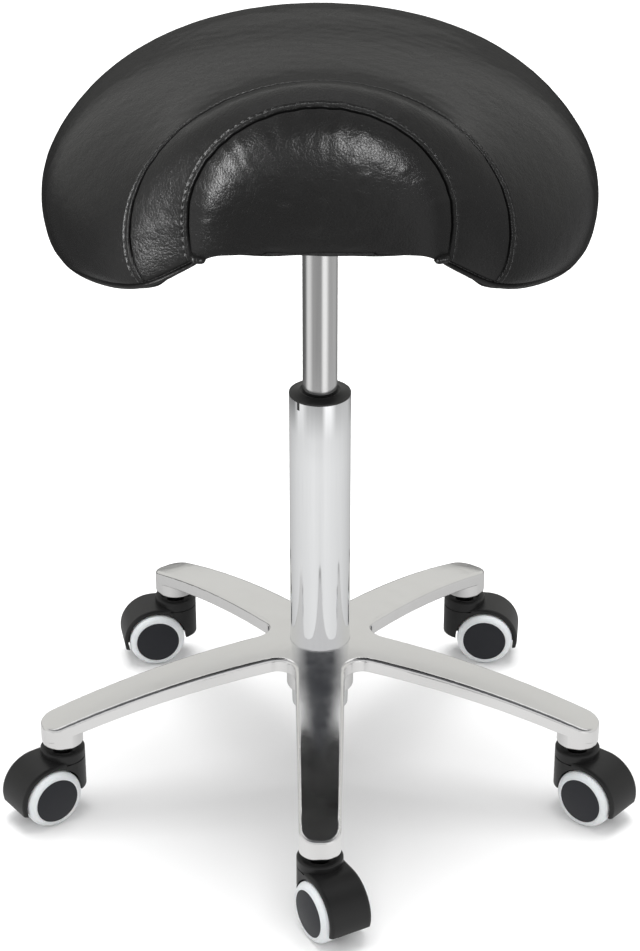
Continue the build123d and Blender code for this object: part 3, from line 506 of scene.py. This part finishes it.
# ---------------------------------------------------------------- the stuffing, by cloth simulation
COARSE = {"under": 10, "hem": 2, "body": 30}   # columns of half a section of the grid that is simulated
COARSE_ROWS = (16, 8, 34)  # its rows: front panel, middle panel, main panel
FORWARD = (6, 8)           # mm by which the two seams are sewn in front of their arches
PRESSURE = 4.0
PRESS_STEPS = 20
EVEN_ROUNDS = 4            # rounds of smoothing after the simulation
EVEN_SHARE = 0.6           # share that each round takes from the neighbours
PUFF_LIMIT = 7 * MM
SLACK = 1.0 * MM           # the form is this much smaller before it is stuffed
SLACK_RISE = 25 * MM       # height above the hem over which it gets that much smaller


def seam_lines():
    """Distances of the inner and the outer seam from the front hem, measured over the top."""
    places = arch_places()
    return places[INNER_ROW] - FORWARD[0], places[OUTER_ROW] - FORWARD[1]


def coarse_rows():
    """Rows of the simulated grid, with a row on each seam."""
    places = arch_places()
    marks = [0, *seam_lines(), places[-1]]
    rows = [np.linspace(a, b, n + 1)[:-1] for a, b, n in zip(marks, marks[1:], COARSE_ROWS)]
    return np.concatenate([*rows, [places[-1]]])


def pinned(grid, rows):
    """True where the cover is sewn or stapled down: the seams, the hem and everything under it."""
    held = np.zeros(grid.shape[:2], bool)
    half = COARSE["under"] + COARSE["hem"]
    held[:, :half + 1] = True
    held[:, -half:] = True
    for seam in seam_lines():
        held[np.argmin(np.abs(rows - seam))] = True
    held[:2] = True
    held[-2:] = True
    return held


def relaxed(field, held):
    """Evens a field out between the held points, as thick hide does, which can't follow a sharp fold."""
    for _ in range(EVEN_ROUNDS):
        around = (np.roll(field, 1, axis=1) + np.roll(field, -1, axis=1)) / 4
        around[1:-1] += (field[2:] + field[:-2]) / 4
        field = np.where(held, field, (1 - EVEN_SHARE) * field + EVEN_SHARE * around)
    return field


def press(pad):
    """Blows the pad up as a thick, stiff cloth and returns its points after the last step."""
    modifier = pad.modifiers.new("cloth", "CLOTH")
    cloth = modifier.settings
    cloth.quality = 6
    cloth.mass = 0.3
    cloth.tension_stiffness = 12
    cloth.compression_stiffness = 12
    cloth.shear_stiffness = 6
    cloth.bending_stiffness = 2.0
    cloth.vertex_group_mass = "held"
    cloth.use_pressure = True
    cloth.uniform_pressure_force = PRESSURE
    cloth.air_damping = 3
    cloth.effector_weights.gravity = 0
    modifier.point_cache.frame_start = 1
    modifier.point_cache.frame_end = PRESS_STEPS
    for step in range(1, PRESS_STEPS + 1):
        bpy.context.scene.frame_set(step)
    pressed = pad.evaluated_get(bpy.context.evaluated_depsgraph_get()).to_mesh()
    points = np.zeros(len(pressed.vertices) * 3)
    pressed.vertices.foreach_get("co", points)
    return points


def stuffed(grid, rows):
    """How far the stuffing presses each point of the coarse grid out along its normal."""
    faces = grid_faces(*grid.shape[:2])
    pad = new_mesh("pad_for_cloth", grid.reshape(-1, 3), faces, bpy.data.materials["seat_leather"])
    held = pinned(grid, rows)
    group = pad.vertex_groups.new(name="held")
    group.add([int(i) for i in np.flatnonzero(held)], 1.0, "REPLACE")
    moved = press(pad).reshape(grid.shape) - grid
    bpy.data.objects.remove(pad)
    bpy.context.scene.frame_set(1)
    outward = (moved * grid_normals(grid)).sum(axis=2)
    return relaxed(np.clip(outward, 0, PUFF_LIMIT), held)


def read_grid(field, rows, columns, fine_rows, fine_columns):
    """A field given on a coarse grid, read smoothly on a finer one (cubic along both directions)."""
    along = spline(rows, field, fine_rows)
    wrapped = np.concatenate([along, along[:, :1]], axis=1)
    return spline(columns, wrapped.T, fine_columns).T


# ---------------------------------------------------------------- the sewn cover
FINE = {"under": 26, "hem": 8, "body": 130}    # columns of half a section of the finished cover
FINE_ROWS = 280
CROWDING = 5.0             # how many times closer the rows lie at a seam, on top of the even spacing
CROWD_BEHIND, CROWD_REACH = 2.5, 6.0           # mm: where that is behind the seam, and how far it reaches
ROUND = 6                  # column numbers run from 0 to 6 round a section: under, hem, body and back
BODY = (1.9, 2.15)         # column numbers between which the arched seams set in above the hem
SEAM_DEPTH = 1.9 * MM
SEAM_WIDTH = 0.8 * MM
SEAM_SHADE_WIDTH = 1.3 * MM      # half width of the painted shade line in a seam
TOPSTITCH = 5.2 * MM       # distance of the stitch row from its seam
STITCH = 5.6 * MM          # length of one stitch
STITCH_DEPTH = 0.9 * MM
STITCH_WIDTH = 0.9 * MM
ALLOWANCE_LIFT = 0.3 * MM  # height of the doubled hide between a seam and its stitches
PUCKER = 0.22 * MM
PUCKER_REACH = 4 * MM
GATHER = (0.5 * MM, 0.25 * MM)   # height of the gathers at the inner and the outer seam
GATHER_REACH = 16 * MM
HEM_DEPTH = 1.6 * MM
HEM_WIDTH = 0.9 * MM
BAND_FULLNESS = 1.0 * MM
FINE_CREASE = 0.10 * MM
DEEP_CREASE = 0.35 * MM
EDGE_FADE = 12             # mm from the front and the rear hem over which all relief fades out


def fine_rows():
    """Rows of the finished cover, closer together near the two sewn seams."""
    places = arch_places()
    spots = np.linspace(0, places[-1], 1200)
    crowds = [np.exp(-((spots - seam - CROWD_BEHIND) / CROWD_REACH)**2) for seam in seam_lines()]
    density = 1 + CROWDING * sum(crowds)
    run = np.concatenate([[0], np.cumsum((density[1:] + density[:-1]) / 2 * np.diff(spots))])
    return np.interp(np.linspace(0, run[-1], FINE_ROWS), run, spots)


def column_numbers(columns):
    """Place of each column round a section, in units shared by the coarse and the fine grid."""
    under = np.linspace(0, 1, columns["under"] + 1)
    hem, body = column_places(columns)
    right = np.concatenate([under, 1 + hem[1:], 2 + body])
    left = ROUND - right[::-1][1:-1]
    return np.concatenate([right, left])


def groove(distance, depth, width):
    return -depth * np.exp(-(distance / width)**2)


def run_over(grid, axis):
    """Distance run over the surface along the grid's rows (axis 0) or columns (axis 1)."""
    steps = np.linalg.norm(np.diff(grid, axis=axis), axis=2)
    start = np.zeros_like(steps.take([0], axis=axis))
    return np.concatenate([start, np.cumsum(steps, axis=axis)], axis=axis)


def signed_distance(grid, rows, seam):
    """Distance of every point from a seam, measured over the surface and positive behind it."""
    at = np.argmin(np.abs(rows - seam))
    run = run_over(grid, 0)
    return run - run[at] + (rows[at] - seam) * MM


def above_hem(grid):
    """Distance of every point from the hem seam on its side, measured round the section, positive above."""
    run = run_over(grid, 1)
    first = FINE["under"] + FINE["hem"]
    right = run - run[:, first:first + 1]
    left = run[:, -first:grid.shape[1] - first + 1] - run
    return np.minimum(right, left)


def length_along(line):
    steps = np.linalg.norm(np.diff(line, axis=0), axis=1)
    return np.concatenate([[0], np.cumsum(steps)])


def smoothstep(low, high, x):
    t = np.clip((x - low) / (high - low), 0, 1)
    return t * t * (3 - 2 * t)


def on_body():
    """1 on the columns above the hem and 0 on those under it."""
    numbers = column_numbers(FINE)
    return smoothstep(*BODY, numbers) * smoothstep(*BODY, ROUND - numbers)


def behind_front_panel(rows):
    """1 on the rows behind the inner seam and 0 on the front panel, which has no hem band."""
    inner = seam_lines()[0]
    return smoothstep(inner - 1, inner + 5, rows)[:, None]


def wrinkle_noise(points, scale, seed):
    """Smooth seeded noise from a few dozen waves in random directions, about -1 to 1."""
    random = np.random.default_rng(seed)
    total = np.zeros(points.shape[:-1])
    for _ in range(28):
        direction = random.normal(size=3)
        direction *= scale * random.uniform(0.6, 1.6) / np.linalg.norm(direction)
        total += np.sin(points @ direction * 2 * math.pi + random.uniform(0, 2 * math.pi))
    return total / 8


def sewn(grid, rows):
    """Outward offset at the arched seams: a sunk seam, a raised allowance, stitches and their puckers."""
    offset = np.zeros(grid.shape[:2])
    for index, seam in enumerate(seam_lines()):
        away = signed_distance(grid, rows, seam)
        run = length_along(grid[np.argmin(np.abs(rows - seam))])
        run = run - run[grid.shape[1] // 2]
        wave = np.cos(2 * math.pi * run / STITCH)
        beyond = smoothstep(TOPSTITCH, TOPSTITCH + 3 * MM, away)
        lift = ALLOWANCE_LIFT * smoothstep(0, 1.2 * MM, away) * (1 - beyond)
        stitched = groove(away - TOPSTITCH, STITCH_DEPTH, STITCH_WIDTH) * (0.725 + 0.275 * wave)
        pucker = PUCKER * np.exp(-(np.abs(away - TOPSTITCH) / PUCKER_REACH)**1.5) * wave
        gather = GATHER[index] * np.exp(-np.abs(away) / GATHER_REACH)
        gather = gather * wrinkle_noise(np.stack([run, run * 0, run * 0], axis=1), 70, 5 + index)
        offset += groove(away, SEAM_DEPTH, SEAM_WIDTH) + lift + stitched - pucker + gather
    return offset * on_body()


def hem_seam(grid, rows):
    """Outward offset of the sunk seam above the hem band and of the band's fullness."""
    numbers = column_numbers(FINE)
    band = np.clip(np.minimum(numbers, ROUND - numbers) - 1, 0, 1)
    shape = groove(above_hem(grid), HEM_DEPTH, HEM_WIDTH) + np.sin(math.pi * band) * BAND_FULLNESS
    return shape * behind_front_panel(rows)


def seam_shade_amounts(grid, rows):
    """Painted shade of each point of the cover at a seam, 0 to 1, by its distance from the seam: dark where
    little light gets in.
    """
    distances = [signed_distance(grid, rows, seam) for seam in seam_lines()]
    arched = [np.exp(-(away / SEAM_SHADE_WIDTH)**2) * on_body() for away in distances]
    hem = np.exp(-(above_hem(grid) / SEAM_SHADE_WIDTH)**2) * behind_front_panel(rows)
    return np.maximum.reduce([*arched, hem])


def leather_creases(grid, rows):
    """Small folds that the hide shows: fine ones all over, deeper ones on the front panel."""
    inner = seam_lines()[0]
    front = 1 - smoothstep(inner - 10, inner + 6, rows)[:, None]
    fine = wrinkle_noise(grid, 55, 11) * FINE_CREASE
    deep = np.maximum(wrinkle_noise(grid * (1, 1, 1.8), 42, 12), 0)**2 * DEEP_CREASE
    numbers = column_numbers(FINE)
    outside = smoothstep(1.9, 2.2, np.minimum(numbers, ROUND - numbers))
    return (fine + deep * front) * outside


def make_cover(material):
    """The black cover: saddle form, stuffed by cloth simulation, then seamed, stitched and creased."""
    rows = coarse_rows()
    grid = saddle_grid(rows, COARSE)
    puff = stuffed(grid, rows)
    numbers = np.append(column_numbers(COARSE), ROUND)
    places = fine_rows()
    fine = saddle_grid(places, FINE)
    swell = read_grid(puff, rows, numbers, places, column_numbers(FINE))
    swell = swell - SLACK * smoothstep(0, SLACK_RISE, above_hem(fine))
    offset = swell + sewn(fine, places) + hem_seam(fine, places) + leather_creases(fine, places)
    edge = smoothstep(0, EDGE_FADE, places) * smoothstep(0, EDGE_FADE, places[-1] - places)
    normals = grid_normals(fine)
    shaped = fine + normals * (offset * edge[:, None])[:, :, None]
    cover = new_mesh("sewn_cover", shaped.reshape(-1, 3), grid_faces(*shaped.shape[:2]), material)
    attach(cover, "seat")
    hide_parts("seat_cover", "seat_foam")
    # painted shade in the seams, kept on the points for the leather to darken its colour and gloss
    painted_seam_shade = cover.data.attributes.new("painted_seam_shade", "FLOAT", "POINT")
    painted_seam_shade.data.foreach_set("value", seam_shade_amounts(fine, places).ravel())
    return cover, shaped, places


# ---------------------------------------------------------------- thread, tabs and the underside
THREAD_R = 0.38 * MM
HEM_STITCH = 3.4 * MM          # length of one hem stitch
HEM_STITCH_END = 12            # rows before the rear hem's middle at which its stitches end
STITCH_SHARES = np.array([0.04, 0.12, 0.28, 0.50, 0.72, 0.88, 0.96])    # places along one stitch
STITCH_BOW = np.array([-0.9, 0.05, 0.32, 0.40, 0.32, 0.05, -0.9])       # and their heights in thread radii
TAB_LENGTH = 12 * MM
TAB_HALF_WIDTH = 6.0 * MM
TAB_HALF_HEIGHT = 3.4 * MM
TAB_CREASE = 0.25 * MM
CLOTH_INSET = 4                # columns between the hem's foot and the dust cloth's edge
CLOTH_END = 14                 # rows between the hem's middle and the dust cloth's end
CLOTH_SLACK = 1.3 * MM
CLOTH_WAVES = 0.35 * MM
CLOTH_TOP = 0.5 * MM           # distance of the cloth's upper face from the seat
STAPLE_PITCH = 28 * MM
STAPLE_INSET = 4 * MM          # distance of the staples from the cloth's edge
STAPLE_WIRE_R = 0.45 * MM
STAPLE_SPOTS = np.array([-5, -4.6, 0, 4.6, 5]) * MM                     # leg, bend, crown, bend, leg
STAPLE_HEIGHTS = np.array([2.2, -0.5, -0.7, -0.5, 2.2]) * MM


def line_at(grid, rows, seam, distance, first, last):
    """The line on the cover that lies this far behind a seam, between two columns."""
    away = signed_distance(grid, rows, seam)
    line = []
    for column in range(first, last + 1):
        spots = away[:, column]
        line.append([np.interp(distance, spots, grid[:, column, k]) for k in range(3)])
    return np.array(line)


def tube_along(path, radius, sides, taper=1.0):
    """Points and faces of a closed tube along a path, its ends thinner by the taper."""
    count = len(path)
    along = np.gradient(path, axis=0)
    along /= np.linalg.norm(along, axis=1, keepdims=True)
    askew = (0.31, 0.52, 0.79)
    first = np.cross(along, askew)
    first /= np.linalg.norm(first, axis=1, keepdims=True)
    second = np.cross(along, first)
    width = np.ones(count)
    width[[0, -1]] = taper
    turn = np.linspace(0, 2 * math.pi, sides, endpoint=False)
    ring = np.cos(turn)[None, :, None] * first[:, None] + np.sin(turn)[None, :, None] * second[:, None]
    points = path[:, None] + ring * (radius * width)[:, None, None]
    faces = []
    for i in range(count - 1):
        for j in range(sides):
            k = (j + 1) % sides
            faces.append((i * sides + j, i * sides + k, (i + 1) * sides + k, (i + 1) * sides + j))
    faces.append(tuple(range(sides))[::-1])
    faces.append(tuple((count - 1) * sides + j for j in range(sides)))
    return points.reshape(-1, 3), faces


def joined(pieces):
    """One list of points and faces from many."""
    points, faces, start = [], [], 0
    for piece_points, piece_faces in pieces:
        points.append(piece_points)
        faces += [tuple(i + start for i in face) for face in piece_faces]
        start += len(piece_points)
    return np.vstack(points), faces


def stitches(line, outward, pitch):
    """Separate stitches along a line: each rises from its hole, lies on the leather and dives again."""
    run = length_along(line)
    count = int(run[-1] / pitch)
    start = (run[-1] - count * pitch) / 2
    bow = STITCH_BOW * THREAD_R
    made = []
    for index in range(count):
        spots = start + (index + STITCH_SHARES) * pitch
        path = np.stack([np.interp(spots, run, line[:, k]) for k in range(3)], axis=1)
        up = np.stack([np.interp(spots, run, outward[:, k]) for k in range(3)], axis=1)
        made.append(tube_along(path + up * bow[:, None], THREAD_R, 7, 0.7))
    return joined(made)


def add_to_seat(name, points, faces, material, replaced=()):
    """A piece that rides on the seat, in a slot of the record, in place of the named CAD parts."""
    piece = new_mesh(name, points, faces, material)
    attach(piece, "seat")
    if replaced:
        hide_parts(*replaced)
    return piece


def make_thread(grid, rows, material):
    """Topstitching behind the two sewn seams and the close stitches sunk in the hem seam."""
    first = FINE["under"] + FINE["hem"]
    last = grid.shape[1] - first
    normals = grid_normals(grid)
    made = []
    for name, seam in zip(("inner_seam_stitches", "outer_seam_stitches"), seam_lines()):
        line = line_at(grid, rows, seam, TOPSTITCH, first, last)
        outward = normals[np.argmin(np.abs(rows - seam)), first:last + 1]
        points, faces = stitches(line, outward, STITCH)
        made.append(add_to_seat(name, points, faces, material))
    begin = np.argmin(np.abs(rows - seam_lines()[0]))
    end = len(rows) - HEM_STITCH_END
    for name, column in (("right_hem_stitches", first), ("left_hem_stitches", last)):
        points, faces = stitches(grid[begin:end, column], normals[begin:end, column], HEM_STITCH)
        made.append(add_to_seat(name, points, faces, material))
    return made


def make_hem_tabs(grid, rows, material):
    """The two folded vinyl ends where the inner seam reaches the hem at the front panel's lower corners."""
    row = np.argmin(np.abs(rows - seam_lines()[0]))
    foot = FINE["under"]
    made = []
    for name, column in (("right_hem_tab", foot), ("left_hem_tab", grid.shape[1] - foot)):
        corner = grid[row, column]
        side = math.copysign(1, corner[0])
        rings = []
        for share in np.linspace(0, 1, 9):
            size = math.sqrt(max(1 - (2 * share - 1)**4, 0.02))
            outward = side * TAB_LENGTH * (share - 0.5)
            middle = corner + (outward, (share - 1) * MM, (1 + 1.5 * share) * MM)
            turn = np.linspace(0, 2 * math.pi, 20, endpoint=False)
            around = [turn * 0, np.cos(turn) * TAB_HALF_WIDTH * size, np.sin(turn) * TAB_HALF_HEIGHT * size]
            rings.append(middle + np.stack(around, axis=1))
        rings = np.array(rings)
        points = rings + (wrinkle_noise(rings, 160, 21) * TAB_CREASE)[:, :, None]
        faces = grid_faces(*points.shape[:2])
        made.append(add_to_seat(name, points.reshape(-1, 3), faces, material))
    return made


def make_dust_cover(grid, material):
    """Spun cloth stapled under the seat, slack between its staples and turned in at its edge."""
    half = FINE["under"] - CLOTH_INSET
    columns = [c % grid.shape[1] for c in range(-half, half + 1)]
    sheet = grid[CLOTH_END:-CLOTH_END][:, columns]
    down = grid_normals(grid)[CLOTH_END:-CLOTH_END][:, columns]
    slack = wrinkle_noise(sheet * (1, 1, 0), 30, 31) * CLOTH_WAVES + CLOTH_SLACK
    lower = sheet + down * slack[:, :, None]
    upper = sheet + down * CLOTH_TOP
    rows_count, columns_count = sheet.shape[:2]
    points = np.concatenate([lower.reshape(-1, 3), upper.reshape(-1, 3)])
    faces = []
    layer = rows_count * columns_count
    for r in range(rows_count - 1):
        for c in range(columns_count - 1):
            a = r * columns_count + c
            quad = (a, a + columns_count, a + columns_count + 1, a + 1)
            faces.append(quad)
            faces.append(tuple(i + layer for i in quad[::-1]))
    rim = [r * columns_count for r in range(rows_count)]
    rim += [(rows_count - 1) * columns_count + c for c in range(1, columns_count)]
    rim += [r * columns_count + columns_count - 1 for r in range(rows_count - 2, -1, -1)]
    rim += list(range(columns_count - 2, 0, -1))
    for a, b in zip(rim, rim[1:] + rim[:1]):
        faces.append((b, a, a + layer, b + layer))
    add_to_seat("dust_cloth", points, faces, material, ("dust_cover",))
    return points[rim]


def make_staples(rim, material):
    """Wire staples round the dust cloth, with their crowns along its edge."""
    loop = np.vstack([rim, rim[:1]])
    run = length_along(loop)
    made = []
    for spot in np.arange(10 * MM, run[-1] - 10 * MM, STAPLE_PITCH):
        path = np.stack([np.interp(spot + STAPLE_SPOTS, run, loop[:, k]) for k in range(3)], axis=1)
        inward = -path * (1, 1, 0)
        inward /= np.linalg.norm(inward, axis=1, keepdims=True)
        path = path + inward * STAPLE_INSET
        path[:, 2] += STAPLE_HEIGHTS
        made.append(tube_along(path, STAPLE_WIRE_R, 6))
    points, faces = joined(made)
    add_to_seat("dust_cover_staples", points, faces, material)


# ---------------------------------------------------------------- the studio
CAMERA_PLACE = (0.0, -1.9278, 1.2730)
CAMERA_PITCH = 27.351          # degrees below the horizon
LENS = 101.01                  # mm, for a picture whose longer side is 36 mm

# Painted reflection, a glow on the floor that only glossy rays see: what polished parts mirror below the
# horizon.
# The ring is a painted studio beyond a painted table, by turn from behind (0) over the left to the camera's
# side (0.5) and on to the right. The table's brightness goes by distance from the stool, in parts of the
# table's reach, and by turn from the camera's side (0) to behind (1).
PAINTED_STUDIO_RING = [
    (0.00, 0.12),
    (0.20, 0.16),
    (0.26, 0.95),
    (0.31, 0.95),
    (0.37, 0.45),
    (0.52, 0.36),
    (0.56, 1.25),
    (0.61, 1.25),
    (0.67, 0.50),
    (0.84, 0.55),
    (0.93, 0.14),
    (1.00, 0.12),
]
PAINTED_TABLE_REACH = 2.0              # m
PAINTED_TABLE_RING = [(0.0, 0.58), (0.10, 0.84), (0.30, 0.90), (0.37, 0.80)]
PAINTED_TABLE_TURN = [(0.0, 0.94), (0.12, 1.0), (0.5, 0.86), (0.72, 0.70), (1.0, 0.45)]
PAINTED_TABLE_EDGE = (0.66, 0.76)      # m from the stool, where the painted table gives way to the painted studio
FLOOR_HALF = 9.0               # m

# What they mirror above the horizon, by elevation in parts of a right angle.
WALL_FRONT = (0.72, 0.72, 0.73, 1)
WALL_BEHIND = (0.70, 0.70, 0.68, 1)
WALL_TOP_FRONT = (0.34, 0.40)
WALL_TOP_BEHIND = (0.38, 0.46)
CEILING_FRONT = (0.06, 0.062, 0.068, 1)
CEILING_BEHIND = [(0.42, 0.40), (0.50, 0.45), (0.56, 1.15), (0.74, 1.15), (0.84, 0.20)]
FRONT_TO_BEHIND = (-0.5, 0.4)  # y of a direction, between which the front turns into the back
WORLD_LIGHT = (0.88, 0.88, 0.88, 1)

# Softboxes: place in m, width and height in m, power in W and turn about the line to the seat in degrees.
STRIP_LIGHT = ((-1.62, -1.22, 1.15), 0.35, 1.6, 84, 26)
FRONT_LIGHT = ((0.80, -1.90, 1.72), 0.6, 0.9, 64, 0)
TOP_LIGHT = ((0.0, 0.4, 3.2), 2.4, 2.0, 130, 0)


def make_camera():
    """The camera of the photo."""
    data = bpy.data.cameras.new("camera")
    data.lens = LENS
    data.sensor_width = 36.0
    camera = bpy.data.objects.new("camera", data)
    camera.location = CAMERA_PLACE
    camera.rotation_euler = (math.radians(90 - CAMERA_PITCH), 0, 0)
    bpy.context.scene.collection.objects.link(camera)
    bpy.context.scene.camera = camera


def make_floor():
    """White floor. For glossy rays it glows as a painted reflection: a pale table, round it a dim studio
    with two light strips.
    """
    s = Surface("studio_floor")
    axes = s.add("ShaderNodeSeparateXYZ", {0: s.place})
    radius = s.add("ShaderNodeVectorMath", {0: s.place}, operation="LENGTH")["Value"]
    turn = s.math("ARCTAN2", axes["X"], s.math("MULTIPLY", axes["Y"], -1.0))
    ring = s.ramp(s.span(turn, 0.0, 1.0, -math.pi, math.pi), PAINTED_STUDIO_RING)
    by_turn = s.ramp(s.math("DIVIDE", s.math("ABSOLUTE", turn), math.pi), PAINTED_TABLE_TURN)
    by_radius = s.ramp(s.math("DIVIDE", radius, PAINTED_TABLE_REACH), PAINTED_TABLE_RING)
    painted_table = s.math("MULTIPLY", by_radius, by_turn)
    seen = s.blend(s.span(radius, 0.0, 1.0, *PAINTED_TABLE_EDGE), painted_table, ring)
    # painted reflection: glossy rays see this glow of table and studio, all other rays see the plain white
    # floor
    painted_reflection = s.add("ShaderNodeEmission", {"Color": seen, "Strength": 1.0})["Emission"]
    colour = s.tint(s.noise(3, 3), grey(0.90), grey(0.92))
    plain = s.add("ShaderNodeBsdfDiffuse", {"Color": colour, "Roughness": 0.6})["BSDF"]
    glossy = s.add("ShaderNodeLightPath", {})["Is Glossy Ray"]
    both = s.add("ShaderNodeMixShader", {0: glossy, 1: plain, 2: painted_reflection})["Shader"]
    s.add("ShaderNodeOutputMaterial", {"Surface": both})
    corners = [(x * FLOOR_HALF, y * FLOOR_HALF, 0) for x, y in ((-1, -1), (1, -1), (1, 1), (-1, 1))]
    floor = new_mesh("studio_floor", corners, [(0, 1, 2, 3)], s.owner, False)


def make_softbox(name, target, place, width, height, power, lean):
    """An area lamp facing its target, turned about the line to it by the lean in degrees."""
    data = bpy.data.lights.new(name, "AREA")
    data.shape = "RECTANGLE"
    data.size = width
    data.size_y = height
    data.energy = power
    lamp = bpy.data.objects.new(name, data)
    lamp.location = place
    aim = Vector(target) - Vector(place)
    lamp.rotation_euler = aim.to_track_quat("-Z", "Y").to_euler()
    lamp.rotation_euler.rotate_axis("Z", math.radians(lean))
    bpy.context.scene.collection.objects.link(lamp)
    return lamp


def shine_only_on(lamp, pieces):
    """Keeps a lamp's light and its gloss on these pieces."""
    group = bpy.data.collections.new(lamp.name + "_receivers")
    for piece in pieces:
        group.objects.link(piece)
    lamp.light_linking.receiver_collection = group


def make_world():
    """Pale studio. Glossy parts mirror a pale wall, a softbox high behind and a dim ceiling."""
    s = Surface("studio", bpy.data.worlds, "Generated")
    bpy.context.scene.world = s.owner
    axes = s.add("ShaderNodeSeparateXYZ", {0: s.place})
    behind = s.span(axes["Y"], 0.0, 1.0, *FRONT_TO_BEHIND)
    wall = s.blend(behind, WALL_FRONT, WALL_BEHIND)
    height = s.add("ShaderNodeMath", {0: axes["Z"]}, operation="ARCSINE")[0]
    elevation = s.math("DIVIDE", height, math.pi / 2)
    upper = s.blend(behind, CEILING_FRONT, s.ramp(elevation, CEILING_BEHIND))
    above_front = s.span(elevation, 0.0, 1.0, *WALL_TOP_FRONT)
    above_behind = s.span(elevation, 0.0, 1.0, *WALL_TOP_BEHIND)
    above = s.blend(behind, above_front, above_behind)
    mirrored = s.blend(above, wall, upper)
    glossy = s.add("ShaderNodeLightPath", {})["Is Glossy Ray"]
    colour = s.blend(glossy, WORLD_LIGHT, mirrored)
    back = s.add("ShaderNodeBackground", {"Color": colour, "Strength": 1.0})["Background"]
    s.add("ShaderNodeOutputWorld", {"Surface": back})


def make_studio(seat_pieces):
    """Soft light from above on everything, and two softboxes whose gloss lies on the leather alone."""
    make_camera()
    make_floor()
    make_world()
    seat = sum(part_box("seat_cover"), Vector()) / 2
    shine_only_on(make_softbox("strip_light", seat, *STRIP_LIGHT), seat_pieces)
    shine_only_on(make_softbox("front_light", seat, *FRONT_LIGHT), seat_pieces)
    make_softbox("top_light", seat, *TOP_LIGHT).visible_glossy = False
    view = bpy.context.scene.view_settings
    view.view_transform = "Standard"
    view.look = "None"


materials = make_materials()
dress_packed_parts(materials)
cover, cover_grid, cover_rows = make_cover(materials["seat_leather"])
seams = make_thread(cover_grid, cover_rows, thread("bonded_thread"))
tabs = make_hem_tabs(cover_grid, cover_rows, materials["seat_leather"])
cloth_rim = make_dust_cover(cover_grid, materials["dust_cloth"])
make_staples(cloth_rim, materials["steel"])
make_studio([cover, *seams, *tabs])
